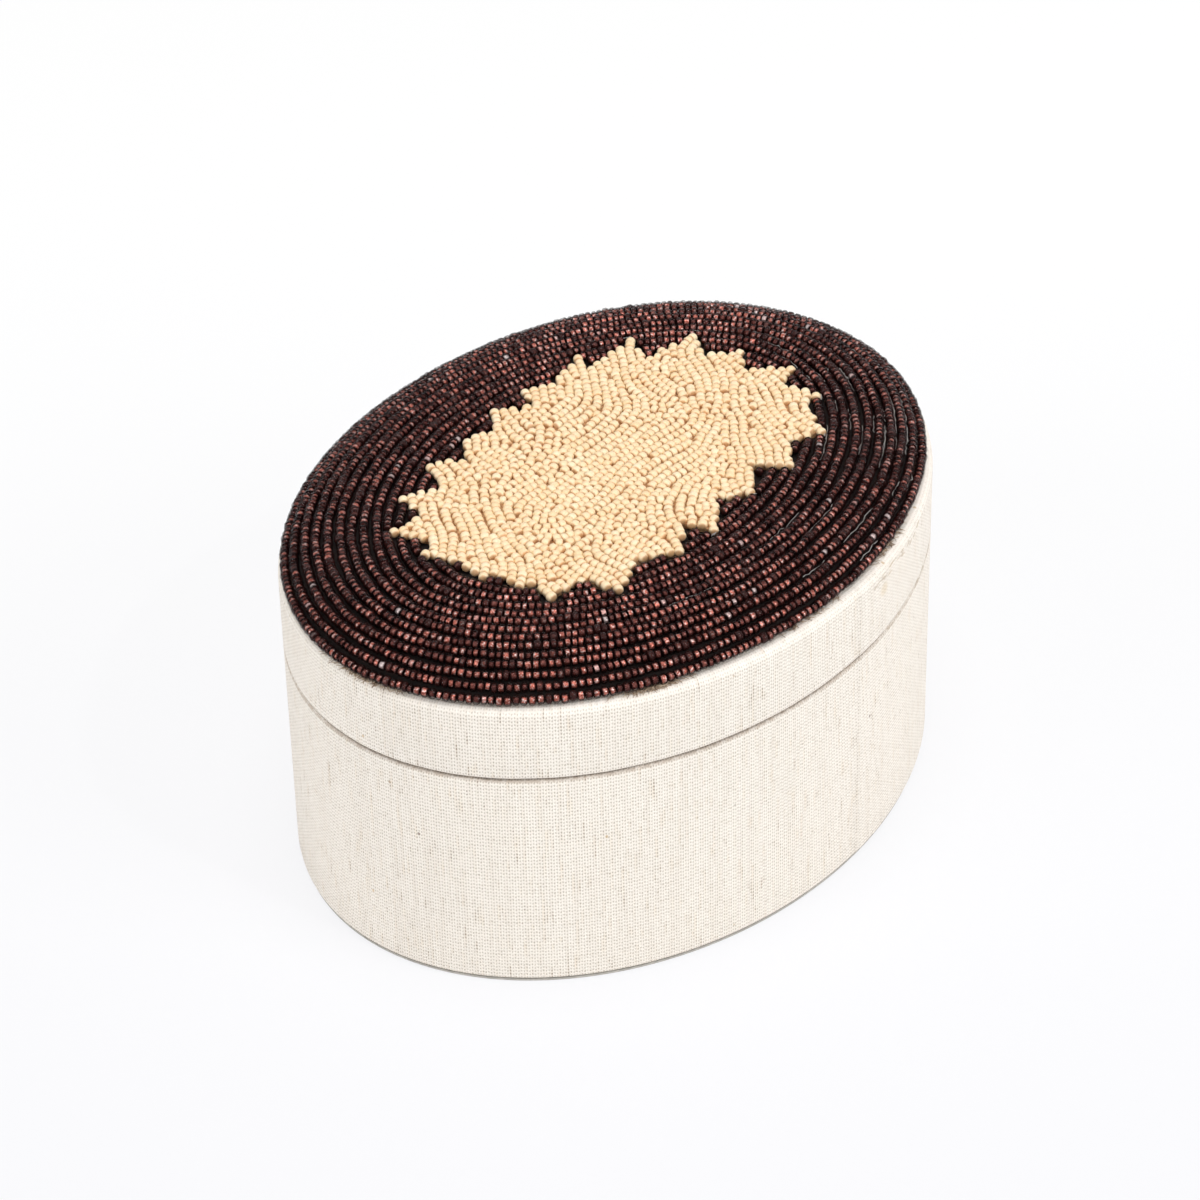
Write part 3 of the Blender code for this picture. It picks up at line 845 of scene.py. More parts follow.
def next_strand(inset):
    """The inset whose strand lies one row pitch from this one, measured across the strands."""
    beads = bead_settings()
    pitch = beads.dark_diameter + beads.row_gap
    lift = SEAT + beads.dark_diameter / 2
    last = Vector(dome_point(inset, lift))
    near, far = inset, inset + 2 * pitch
    while far - near > pitch / 10000:
        middle = (near + far) / 2
        apart = (Vector(dome_point(middle, lift)) - last).length
        near, far = (middle, far) if apart < pitch else (near, middle)
    return near


def strand_insets(count):
    insets = [0.0]
    while len(insets) < count:
        insets.append(next_strand(insets[-1]))
    return insets


def sunburst_corners(grow=0.0):
    """The zigzag outline on the panel, moved outwards by grow square to its edges."""
    beads = bead_settings()
    taken = strand_insets(beads.whole_strands)[-1] + beads.dark_diameter / 2 + SUNBURST_ROOM
    half_length, half_width = (half - taken for half in HALF_PANEL)
    shift = Vector(beads.sunburst_shift)
    corners = [Vector((along * half_length, across * half_width)) + shift
               for ray in RAY_SHARES for along, across in ray]
    grown = []
    for before, corner, after in zip(corners[-1:] + corners[:-1], corners, corners[1:] + corners[:1]):
        to_corner = (corner - before).normalized()
        from_corner = (after - corner).normalized()
        outwards = Vector((to_corner.y + from_corner.y, -to_corner.x - from_corner.x)).normalized()
        reach = outwards.dot(Vector((to_corner.y, -to_corner.x)))
        grown.append(corner + outwards * grow / reach)
    return grown


def beyond_outline(corners, point):
    """How far a point of the panel lies outside the zigzag. Inside it the distance is negative."""
    nearest = math.inf
    inside = False
    for start, end in zip(corners, corners[1:] + corners[:1]):
        edge = end - start
        share = min(1.0, max(0.0, (point - start).dot(edge) / edge.length_squared))
        nearest = min(nearest, (point - start - edge * share).length)
        if (start.y > point.y) != (end.y > point.y):
            if point.x < start.x + edge.x * (point.y - start.y) / edge.y:
                inside = not inside
    return -nearest if inside else nearest


class BeadTray:
    """Gathers placed copies of one unit bead in one mesh, each with a tone of its own."""
    END_FROM = 0.30     # where a bead's end begins to show, as a share of its length

    def __init__(self, sides, outline_shares):
        self.bead = bpy.data.meshes.new("unit_bead")
        shape = bmesh.new()
        place, radius = outline_shares[0]
        matrix = Matrix.Translation((place, 0, 0)) @ Matrix.Rotation(math.pi / 2, 4, "Y")
        ring = bmesh.ops.create_circle(shape, segments=sides, radius=radius, matrix=matrix)["verts"]
        edges = edges_of(ring)
        fill_rings(shape, edges)
        for (here, thin), (there, wide) in zip(outline_shares, outline_shares[1:]):
            verts, edges = extruded(shape, edges)
            bmesh.ops.scale(shape, verts=verts, vec=(1, wide / thin, wide / thin))
            bmesh.ops.translate(shape, verts=verts, vec=(there - here, 0, 0))
        fill_rings(shape, edges)
        face_outwards(shape)
        shape.verts.layers.float.new("tone")
        end = shape.verts.layers.float.new("end")
        for vert in shape.verts:
            vert[end] = max(0.0, (abs(vert.co.x) - self.END_FROM) / (0.5 - self.END_FROM))
        shape.to_mesh(self.bead)
        shape.free()
        self.shape = bmesh.new()
        self.tone = self.shape.verts.layers.float.new("tone")
        self.shape.verts.layers.float.new("end")

    def add(self, matrix, tone):
        before = len(self.shape.verts)
        self.shape.from_mesh(self.bead)
        self.shape.verts.ensure_lookup_table()
        verts = self.shape.verts[before:]
        bmesh.ops.transform(self.shape, matrix=matrix, verts=verts)
        for vert in verts:
            vert[self.tone] = tone

    def finish(self):
        bpy.data.meshes.remove(self.bead)
        return self.shape


def bead_matrix(place, along, up, roll, length, diameter):
    """Puts a unit bead at a place, with its thread along a direction."""
    along = along.normalized()
    aside = up.cross(along).normalized()
    up = along.cross(aside)
    turned = Matrix((along, aside, up)).transposed().to_4x4()
    return (Matrix.Translation(place) @ turned @ Matrix.Rotation(roll, 4, "X")
            @ Matrix.Diagonal((length, diameter, diameter, 1)))


class SunburstLayout:
    """Where each cream bead of the sunburst lies, and the way of its thread."""
    ROW_PITCH = 0.96        # from row to row, as a share of a bead's diameter
    START_ROOM = 0.90       # room that a new row needs to start, as a share of the row pitch
    ROW_ROOM = 0.84         # room that a row needs beside other rows
    GAP_ROOM = 0.71         # room that a single bead needs in a gap
    ROW_BEADS = (6, 26)     # beads that a row may grow each way
    GAP_TRIES = 12000
    PUSH = 0.30             # how far two beads that are too close push apart, as a share
    EDGE = 0.00012          # from a bead's middle to the outline, at the least
    LEAN_TURN = math.radians(48)        # the way that rows lean over to in the rays
    LEAN_FROM, LEAN_OVER = 0.42, 0.30   # where they begin to lean, and over what share of the field
    UNEVEN, LEANING_UNEVEN = 20, 45     # how far rows stray from their way, in degrees

    def __init__(self):
        beads = bead_settings()
        self.corners = sunburst_corners()
        self.middle = Vector(beads.sunburst_shift)
        self.half = [max(corner[side] for corner in self.corners) for side in (0, 1)]
        self.spine = self.half[0] - self.half[1]
        self.pitch = beads.cream_diameter * self.ROW_PITCH
        self.length = beads.cream_length
        self.chance = random.Random(5)
        self.laid = []
        self.squares = {}
        self.lay_rows()
        for _ in range(3):
            self.fill_gaps()
            for _ in range(5):
                self.settle()

    def square(self, point):
        return math.floor(point.x / self.pitch), math.floor(point.y / self.pitch)

    def mark(self, point, name):
        """Notes a bead in the square that it lies in, so that its neighbours are found fast."""
        self.squares.setdefault(self.square(point), []).append((name, point))

    def lay(self, row, point, along):
        self.laid.append((point, along))
        self.mark(point, row)

    def nearby(self, point):
        """The marks that were left in the squares round a point."""
        column, line = self.square(point)
        for east in (-1, 0, 1):
            for north in (-1, 0, 1):
                yield from self.squares.get((column + east, line + north), ())

    def clear_of_beads(self, point, apart, row=None):
        """True where no bead of another row is nearer than this."""
        return all((row is not None and number == row) or (other - point).length >= apart
                   for number, other in self.nearby(point))

    def inside(self, point):
        return beyond_outline(self.corners, point) < -self.EDGE

    def along_row(self, point):
        """The way of a row: round the middle of the panel, and leaning over towards the rays."""
        east, north = point - self.middle
        round_about = math.atan2(north, east - max(-self.spine, min(self.spine, east))) + math.pi / 2
        reach = math.hypot(east / self.half[0], north / self.half[1])
        reach += 0.22 * noise.noise(Vector((east * 60, north * 60, 9.0)))
        lean = min(1.0, max(0.0, (reach - self.LEAN_FROM) / self.LEAN_OVER))
        to_lean = (self.LEAN_TURN - round_about + math.pi / 2) % math.pi - math.pi / 2
        turn = round_about + lean * to_lean
        stray = math.radians(self.UNEVEN + self.LEANING_UNEVEN * lean)
        turn += stray * noise.noise(Vector((east * 75, north * 75, 2.0)))
        return Vector((math.cos(turn), math.sin(turn)))

    def ray_ends(self):
        """The place of the last bead in each ray's tip."""
        ends = []
        notches = self.corners[1::2]
        for before, tip, after in zip(notches[-1:] + notches[:-1], self.corners[0::2], notches):
            inwards = ((before + after) / 2 - tip).normalized()
            end = tip + inwards * 0.0003
            while not self.inside(end):
                end = end + inwards * 0.0001
            ends.append(end)
        return ends

    def lay_rows(self):
        """Lays a row through each waiting place that has room, and marks places beside it."""
        waiting = [self.middle] + self.ray_ends()
        row = 0
        while waiting:
            start = waiting.pop(0)
            if not (self.clear_of_beads(start, self.pitch * self.START_ROOM) and self.inside(start)):
                continue
            row += 1
            for point, along in self.grow(start, row):
                aside = Vector((-along.y, along.x)) * self.pitch
                waiting += [point + aside, point - aside]

    def grow(self, start, row):
        """Threads beads both ways from a start until the row meets another or the outline."""
        along = self.along_row(start)
        beads = [(start, along)]
        self.lay(row, start, along)
        room = self.pitch * self.ROW_ROOM
        for way in (along, -along):
            point, along = start, way
            for _ in range(self.chance.randint(*self.ROW_BEADS)):
                step = self.length * self.chance.uniform(0.96, 1.10)
                ahead = self.along_row(point + along * step / 2)
                along = ahead if ahead.dot(along) > 0 else -ahead
                point = point + along * step
                if not (self.clear_of_beads(point, room, row) and self.inside(point)):
                    break
                beads.append((point, along))
                self.lay(row, point, along)
        return beads

    def fill_gaps(self):
        """Adds single beads where the rows leave a hole, turned at random."""
        for _ in range(self.GAP_TRIES):
            point = self.middle + Vector([self.chance.uniform(-half, half) for half in self.half])
            if self.clear_of_beads(point, self.pitch * self.GAP_ROOM) and self.inside(point):
                turn = self.chance.uniform(0, math.pi)
                self.lay(None, point, Vector((math.cos(turn), math.sin(turn))))

    def mark_all(self):
        self.squares = {}
        for number, (point, _) in enumerate(self.laid):
            self.mark(point, number)

    def settle(self):
        """Lets beads that lie too close push each other towards the gaps."""
        self.mark_all()
        settled = []
        for number, (point, along) in enumerate(self.laid):
            push = Vector((0, 0))
            for other, place in self.nearby(point):
                apart = point - place
                near = math.hypot(apart.dot(along) / self.length, apart.cross(along) / self.pitch)
                if other != number and near < 1:
                    push += apart.normalized() * (1 - near) * self.pitch * self.PUSH
            moved = point + push
            settled.append((moved if self.inside(moved) else point, along))
        self.laid = settled
        self.mark_all()


@functools.cache
def sunburst_layout():
    return SunburstLayout()


class DarkStrand:
    """The path of one oval strand over the dome, measured along its thread."""
    STEPS = 720         # stations round the oval at which the thread's length is noted
    RUN_STEPS = 1440    # stations along the thread that are tried for room

    def __init__(self, inset, number):
        self.inset = inset
        self.number = number
        self.lift = SEAT + bead_settings().dark_diameter / 2
        self.wander = OUTER_STRAND_WANDER if number < 3 else STRAND_WANDER
        self.turns = [math.tau * step / self.STEPS for step in range(self.STEPS + 1)]
        self.gone = [0.0]
        for here, there in zip(self.turns, self.turns[1:]):
            self.gone.append(self.gone[-1] + (self.at_turn(there)[0] - self.at_turn(here)[0]).length)
        self.length = self.gone[-1]

    def at_turn(self, turn):
        """The thread's place, and the direction square to the dome."""
        inset = spread_inset(self.inset, turn)
        wander = math.sin(5 * turn + 2.3 * self.number) + math.sin(11 * turn + 4.1 * self.number)
        inset += self.wander * (wander + 0.8 * math.sin(23 * turn + 1.7 * self.number))
        out, height = dome_point(inset, self.lift)
        cloth_out, cloth_height = dome_point(inset)
        place = on_panel(turn, out, height)
        up = outwards_at(turn) * (cloth_out - out) + Vector((0, 0, height - cloth_height))
        place.z -= OUTER_STRAND_DROP * 0.5 ** (self.number - 1)
        return place, up.normalized()

    def turn_after(self, gone):
        """The turn round the oval at which this much thread has been passed."""
        gone %= self.length
        low, high = 0, len(self.gone) - 1
        while high - low > 1:
            middle = (low + high) // 2
            low, high = (middle, high) if self.gone[middle] <= gone else (low, middle)
        share = (gone - self.gone[low]) / (self.gone[high] - self.gone[low])
        return self.turns[low] + share * (self.turns[high] - self.turns[low])

    def open_runs(self, corners, clearance):
        """Stretches of the thread that pass clear of the sunburst, as starts and lengths."""
        steps = self.RUN_STEPS
        clear = []
        for step in range(steps):
            place, _ = self.at_turn(self.turn_after(self.length * step / steps))
            flat = Vector((place.x, place.y - PANEL_SHIFT))
            clear.append(beyond_outline(corners, flat) > clearance)
        if all(clear):
            return [(0.0, self.length)]
        first = clear.index(False)
        runs, start = [], None
        for step in range(first, first + steps + 1):
            if clear[step % steps] and start is None:
                start = step
            if not clear[step % steps] and start is not None:
                runs.append((self.length * start / steps, self.length * (step - start) / steps))
                start = None
        return runs


class KEEPSAKE_OT_studio(bpy.types.Operator):
    """Adds the pale floor, the soft lamps and the camera."""
    bl_idname = "keepsake.studio"
    bl_label = "Studio"

    # Each lamp's place and diameter. Its power is in the sidebar
    LAMPS = {
        "key": ((0.15, -1.25, 0.75), 0.8),
        "fill": ((-1.25, 0.45, 0.65), 1.0),
        "overhead": ((-0.05, -0.05, 1.35), 0.6),
        "side": ((1.30, -0.35, 0.55), 0.8),
        "spark": ((-0.10, -0.95, 1.15), 0.06),
    }
    FLOOR_RADIUS = 6.0
    FLOOR_NEAR = (0.940, 0.940, 0.968)      # the paper's shade as the camera sees it
    FLOOR_FAR = (1.025, 1.025, 1.025)
    FLOOR_GLOW = 0.83                       # share of that shade in what the lamps light

    def execute(self, context):
        studio = context.scene.keepsake_studio
        self.add_floor()
        self.add_sky(context.scene, studio.sky)
        for name, (place, diameter) in self.LAMPS.items():
            self.add_lamp(f"{name}_lamp", place, diameter, getattr(studio, f"{name}_power"))
        self.add_camera(context.scene, studio)
        context.scene.view_settings.view_transform = "Standard"
        return {"FINISHED"}

    def add_floor(self):
        shape = bmesh.new()
        bmesh.ops.create_circle(shape, cap_ends=True, segments=96, radius=self.FLOOR_RADIUS)
        mesh = bpy.data.meshes.new("floor")
        shape.to_mesh(mesh)
        shape.free()
        floor = bpy.data.objects.new("floor", mesh)
        bpy.context.scene.collection.objects.link(floor)
        finish = Finish("floor_paper", Roughness=0.9, Base_Color=(0.90, 0.90, 0.90))
        seen, mirrored, through = (finish.light_path(ray) for ray in (
            "Is Camera Ray", "Is Glossy Ray", "Is Transmission Ray"))
        east, north, _ = finish.apart(finish.place())
        far = (east * 0.80 + north * 0.60).ramp(-0.25, 0.30)
        shade = finish.mix(far, self.FLOOR_NEAR, self.FLOOR_FAR)
        white = finish.node("ShaderNodeEmission", values={"Color": shade})
        paper = Reading(finish, finish.surface.outputs[0])
        mixed = finish.node("ShaderNodeMixShader", values={
            0: (seen + mirrored + through) * self.FLOOR_GLOW, 1: paper, 2: white})
        finish.join(mixed, finish.tree.nodes["Material Output"].inputs["Surface"])
        mesh.materials.append(finish.material)

    @staticmethod
    def add_sky(scene, strength):
        """Light from all round. The camera, gloss and glass see it as plain white."""
        sky = bpy.data.worlds.new("sky")
        sky.use_nodes = True
        scene.world = sky
        nodes = Nodes(sky.node_tree)
        shown = nodes.light_path("Is Camera Ray")
        for ray in ("Is Glossy Ray", "Is Transmission Ray"):
            shown = shown.maths("MAXIMUM", nodes.light_path(ray))
        level = nodes.node("ShaderNodeMapRange", values={"Value": shown, "To Min": strength,
                                                         "To Max": 1.0})
        light = sky.node_tree.nodes["Background"]
        nodes.join((1.0, 1.0, 1.0), light.inputs["Color"])
        nodes.join(level, light.inputs["Strength"])

    @staticmethod
    def add_lamp(name, place, diameter, power):
        lamp = bpy.data.lights.new(name, "AREA")
        lamp.shape = "DISK"
        lamp.size = diameter
        lamp.energy = power
        holder = bpy.data.objects.new(name, lamp)
        bpy.context.scene.collection.objects.link(holder)
        holder.location = place
        holder.rotation_euler = (-Vector(place)).to_track_quat("-Z", "Y").to_euler()

    @staticmethod
    def add_camera(scene, studio):
        lens = bpy.data.cameras.new("camera")
        lens.lens = studio.lens
        lens.shift_x, lens.shift_y = studio.shift
        camera = bpy.data.objects.new("camera", lens)
        scene.collection.objects.link(camera)
        scene.camera = camera
        back = Vector((math.sin(studio.azimuth) * math.cos(studio.elevation),
                       -math.cos(studio.azimuth) * math.cos(studio.elevation),
                       math.sin(studio.elevation)))
        camera.location = Vector((0, 0, studio.aim_height)) + back * studio.distance
        look = (-back).to_track_quat("-Z", "Y").to_matrix().to_4x4()
        camera.rotation_euler = (look @ Matrix.Rotation(studio.roll, 4, "Z")).to_euler()


class KEEPSAKE_OT_boards(bpy.types.Operator):
    """Finishes the boards and the neck, and adds the sheet under the base."""
    bl_idname = "keepsake.boards"
    bl_label = "Boards"

    BEVEL = 0.0001      # the sheet's lower edge is cut back this far

    def execute(self, context):
        for name in ("base_board", "base_wall", "base_neck", "lid_wall", "lid_board"):
            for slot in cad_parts[name].material_slots:
                slot.material = finish_named("pulp_board")
        top = highest("foot_sheet").z
        inset = HALF_BOX[0] - highest("foot_sheet").x
        shape = closed_oval(HALF_BOX, [(inset + self.BEVEL, 0), (inset, self.BEVEL), (inset, top)])
        face_outwards(shape)
        add_piece("foot_paper", shape, "foot_wrap", "base", ["foot_sheet"])
        return {"FINISHED"}


class KEEPSAKE_OT_linen(bpy.types.Operator):
    """Covers the base and the lid with linen that is turned in at its edges."""
    bl_idname = "keepsake.linen"
    bl_label = "Linen"

    NECK_ROOM = 0.0010      # from the neck's face to the cloth that is turned in beside it

    def execute(self, context):
        cloth = cloth_settings()
        inside = HALF_BOX[0] - highest("base_neck").x - self.NECK_ROOM
        base = rounded([(cloth.turn_under, CLOTH_UNDER), (0, CLOTH_UNDER), (0, BASE_TOP), (inside, BASE_TOP),
                        (inside, BASE_TOP - cloth.turn_in)], cloth.fold)
        lid = rounded([(cloth.turn_over, RIM), (0, RIM), (0, LID_UNDER), (inside, LID_UNDER),
                       (inside, LID_BOARD_UNDER - SEAT)], cloth.fold, cloth.rim_fold)
        for body, section, seam in (("base", base, BASE_TOP), ("lid", lid, LID_UNDER)):
            shape, _, _ = oval_sheet(HALF_BOX, section)
            unsettle(shape, seam, EDGE_REACH, EDGE_WANDER)
            if body == "base":
                close_seam(shape)
            lap_join(shape)
            face_outwards(shape)
            lay_cloth_map(shape)
            cover = add_piece(f"{body}_cover", shape, "slubby_linen", body, [f"{body}_linen"])
            thicken(cover, cloth.thickness)
        return {"FINISHED"}


class KEEPSAKE_OT_linings(bpy.types.Operator):
    """Lines the neck, the floor and the ceiling with cotton."""
    bl_idname = "keepsake.linings"
    bl_label = "Linings"

    COTTON = 0.0004             # thickness of the neck's lining
    NECK_INSET = 0.0029         # from the lining's outer face to its inner one
    NECK_FOLD = 0.0009
    CUSHION_SIDE = 0.55         # share of the floor pad's height at which its side starts to curve
    CUSHION_CURVE = 0.0042
    CUSHION_STEPS = 8
    CARD_EDGE = 0.0007
    CARD_STEPS = 6

    def execute(self, context):
        self.line_neck()
        self.pad_floor()
        self.card_ceiling()
        return {"FINISHED"}

    def line_neck(self):
        outside = HALF_BOX[0] - highest("neck_lining").x
        top = highest("neck_lining").z
        bottom = lowest("neck_lining").z
        inside = outside + self.NECK_INSET
        section = rounded([(outside, bottom), (outside, top), (inside, top), (inside, bottom)],
                          self.NECK_FOLD)
        shape, _, _ = oval_sheet(HALF_BOX, section)
        unsettle(shape, top, reach=0.0015, amount=0.00006)
        face_outwards(shape)
        lay_cloth_map(shape)
        lining = add_piece("neck_cotton", shape, "cotton_lining", "base", ["neck_lining"])
        thicken(lining, self.COTTON)

    def pad_floor(self):
        """A shallow cushion: sides that curve over to a top that is flat but not quite even."""
        low, high = lowest("floor_pad"), highest("floor_pad")
        inset = HALF_BOX[0] - high.x
        rise = high.z - low.z
        section = [(inset, low.z), (inset, low.z + self.CUSHION_SIDE * rise)]
        for step in range(1, self.CUSHION_STEPS + 1):
            turn = step / self.CUSHION_STEPS * math.pi / 2
            curve = self.CUSHION_SIDE + (1 - self.CUSHION_SIDE) * math.sin(turn)
            section.append((inset + self.CUSHION_CURVE * (1 - math.cos(turn)), low.z + rise * curve))
        section += [(inset + 0.0120, high.z + 0.00005), (inset + 0.0280, high.z + 0.00010)]
        shape = closed_oval(HALF_BOX, section)
        for vert in shape.verts:
            if vert.co.z > low.z + 0.6 * rise:
                vert.co.z += 0.00025 * noise.noise(vert.co * 55)
        face_outwards(shape)
        lay_flat_map(shape)
        pad = add_piece("floor_cushion", shape, "cotton_lining", "base", ["floor_pad"])

    def card_ceiling(self):
        """A card whose cotton is turned over its lower edge."""
        low, high = lowest("ceiling_card"), highest("ceiling_card")
        inset = HALF_BOX[0] - high.x
        section = [(inset, high.z)]
        for step in range(self.CARD_STEPS + 1):
            turn = step / self.CARD_STEPS * math.pi / 2
            section.append((inset + self.CARD_EDGE * (1 - math.cos(turn)),
                            low.z + self.CARD_EDGE * (1 - math.sin(turn))))
        section.append((inset + 0.0200, low.z))
        shape = closed_oval(HALF_BOX, section)
        face_outwards(shape)
        lay_flat_map(shape)
        add_piece("ceiling_cotton", shape, "cotton_lining", "lid", ["ceiling_card"])


class KEEPSAKE_OT_panel(bpy.types.Operator):
    """Adds the foam dome and the dark cloth that the beads are sewn to."""
    bl_idname = "keepsake.panel"
    bl_label = "Panel"

    BACKING = 0.0003        # thickness of the dark cloth
    TURN_IN = 0.0015        # cloth that was cut past the panel's edge, all round
    # Insets of the stations over the dome, close together on its shoulder
    STATIONS = (0.0, 0.0006, 0.0013, 0.0022, 0.0034, 0.0050, 0.0072, 0.0100, 0.0140, 0.0200, 0.0290,
                0.0400, 0.0520)

    def execute(self, context):
        top = [dome_point(inset) for inset in self.STATIONS]
        shape, _, end = oval_sheet(HALF_PANEL, top)
        fill_rings(shape, end)
        bmesh.ops.translate(shape, verts=shape.verts, vec=(0, PANEL_SHIFT, 0))
        face_outwards(shape)
        cloth = add_piece("beadwork_cloth", shape, "bead_cloth", "lid", ["bead_backing"])
        thicken(cloth, self.BACKING)
        flat = (2 * (HALF_PANEL[0] + self.TURN_IN), 2 * (HALF_PANEL[1] + self.TURN_IN))
        math.pi / 4 * flat[0] * flat[1]
        inset = HALF_PANEL[0] - highest("lid_padding").x
        under = [dome_point(inset + station, -self.BACKING - SEAT) for station in self.STATIONS[:-1]]
        shape = closed_oval(HALF_PANEL, [(inset, PADDING_UNDER)] + under)
        bmesh.ops.translate(shape, verts=shape.verts, vec=(0, PANEL_SHIFT, 0))
        face_outwards(shape)
        dome = add_piece("foam_dome", shape, "open_foam", "lid", ["lid_padding"])
        return {"FINISHED"}


class KEEPSAKE_OT_dark_beads(bpy.types.Operator):
    """Strings every strand of dark lined beads and breaks the inner ones at the sunburst."""
    bl_idname = "keepsake.dark_beads"
    bl_label = "Dark beads"

    SPARE_STRANDS = 7           # strands tried inside the whole ones
    UNDER_RAYS = 0.00020        # how far a strand may run in past the sunburst's outline
    SHORTEST_RUN = 0.7          # as a share of a bead's length
    CREAM_ROOM = 0.00155        # from a dark bead's middle to the nearest cream one's
    LENGTHS = (0.82, 1.18)      # how unlike beads may be, as shares of the usual size
    DIAMETERS = (0.98, 1.08)
    GLASS_LENGTH = 0.94         # a bead's length, as a share of its space on the thread
    LINING_LENGTHS = (0.78, 0.91)
    LINING_DIAMETERS = (0.58, 0.74)

    def execute(self, context):
        beads = bead_settings()
        corners = sunburst_corners()
        self.chance = random.Random(11)
        insets = strand_insets(beads.whole_strands + self.SPARE_STRANDS)
        for number, inset in enumerate(insets, start=1):
            strand = DarkStrand(inset, number)
            runs = [run for run in strand.open_runs(corners, -self.UNDER_RAYS)
                    if run[1] > beads.dark_length * self.SHORTEST_RUN]
            if not runs:
                continue
            glass = BeadTray(10, BEAD_SHARES)
            copper = BeadTray(8, LINING_SHARES)
            for start, length in runs:
                self.string_run(strand, start, length, glass, copper)
            node = f"bead_row_{number:02d}"
            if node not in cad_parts:
                node = "inner_bead_rows"
            add_piece(f"dark_beads_{number:02d}", glass.finish(), "dark_glass", "lid", [node],
                      math.radians(65))
            add_piece(f"bead_linings_{number:02d}", copper.finish(), "copper_lining", "lid",
                      sharp=math.radians(60))
        return {"FINISHED"}

    def string_run(self, strand, start, length, glass, copper):
        """Fills one stretch of thread with beads of slightly different lengths."""
        beads = bead_settings()
        chance = self.chance
        count = max(1, round(length / beads.dark_length))
        sizes = [chance.uniform(*self.LENGTHS) for _ in range(count)]
        scale = length / sum(sizes)
        gone = start
        for size in sizes:
            space = size * scale
            place, up = strand.at_turn(strand.turn_after(gone + space / 2))
            before, _ = strand.at_turn(strand.turn_after(gone))
            after, _ = strand.at_turn(strand.turn_after(gone + space))
            gone += space
            flat = Vector((place.x, place.y - PANEL_SHIFT))
            if not sunburst_layout().clear_of_beads(flat, self.CREAM_ROOM):
                continue
            along = (after - before).normalized()
            aside = up.cross(along)
            place = place + aside * chance.gauss(0, 0.00007) + up * chance.gauss(0, 0.00006)
            along = along + aside * chance.gauss(0, 0.10) + up * chance.gauss(0, 0.07)
            diameter = beads.dark_diameter * chance.uniform(*self.DIAMETERS)
            roll = chance.uniform(0, math.tau)
            bead = bead_matrix(place, along, up, roll, space * self.GLASS_LENGTH, diameter)
            glass.add(bead, chance.random())
            lining = bead_matrix(place, along, up, roll, space * chance.uniform(*self.LINING_LENGTHS),
                                 diameter * chance.uniform(*self.LINING_DIAMETERS))
            copper.add(lining, chance.random())


class KEEPSAKE_OT_cream_beads(bpy.types.Operator):
    """Fills the sunburst with rows of cream beads that start from the tips of its rays."""
    bl_idname = "keepsake.cream_beads"
    bl_label = "Cream beads"

    LIFT = 0.0001               # from the cloth to the beads
    LENGTHS = (0.93, 1.08)      # how unlike beads may be, as shares of the usual size
    DIAMETERS = (0.97, 1.07)
    BED_INSET = 0.0007          # from the sunburst's outline to the bed's
    BED_DROP = 0.0002
    BED_THICKNESS = 0.0010

    def execute(self, context):
        self.add_beads()
        self.add_bed()
        return {"FINISHED"}

    def add_beads(self):
        beads = bead_settings()
        chance = random.Random(17)
        tray = BeadTray(10, ROUND_BEAD_SHARES)
        height = SUNBURST_UNDER + self.LIFT + beads.cream_diameter / 2
        for point, along in sunburst_layout().laid:
            place = Vector((point.x, point.y + PANEL_SHIFT, height + chance.gauss(0, 0.00009)))
            turn = math.radians(chance.gauss(0, 8))
            tilted = Matrix.Rotation(turn, 3, "Z") @ Vector((along.x, along.y, chance.gauss(0, 0.09)))
            diameter = beads.cream_diameter * chance.uniform(*self.DIAMETERS)
            bead = bead_matrix(place, tilted, Vector((0, 0, 1)), chance.uniform(0, math.tau),
                               beads.cream_length * chance.uniform(*self.LENGTHS), diameter)
            tray.add(bead, chance.random())
        add_piece("cream_beads", tray.finish(), "cream_glass", "lid", ["sunburst"],
                  math.radians(65))

    def add_bed(self):
        """A bed of thread under the beads, so that the gaps between them aren't black. Its colour is partly
        painted light bounced between the beads.
        """
        shape = bmesh.new()
        corners = [shape.verts.new((corner.x, corner.y + PANEL_SHIFT, SUNBURST_UNDER - self.BED_DROP))
                   for corner in sunburst_corners(-self.BED_INSET)]
        floor = shape.faces.new(corners)
        risen = bmesh.ops.extrude_face_region(shape, geom=[floor])["geom"]
        verts = [part for part in risen if isinstance(part, bmesh.types.BMVert)]
        bmesh.ops.translate(shape, verts=verts, vec=(0, 0, self.BED_THICKNESS))
        face_outwards(shape)
        add_piece("sunburst_thread_bed", shape, "bed_thread", "lid")


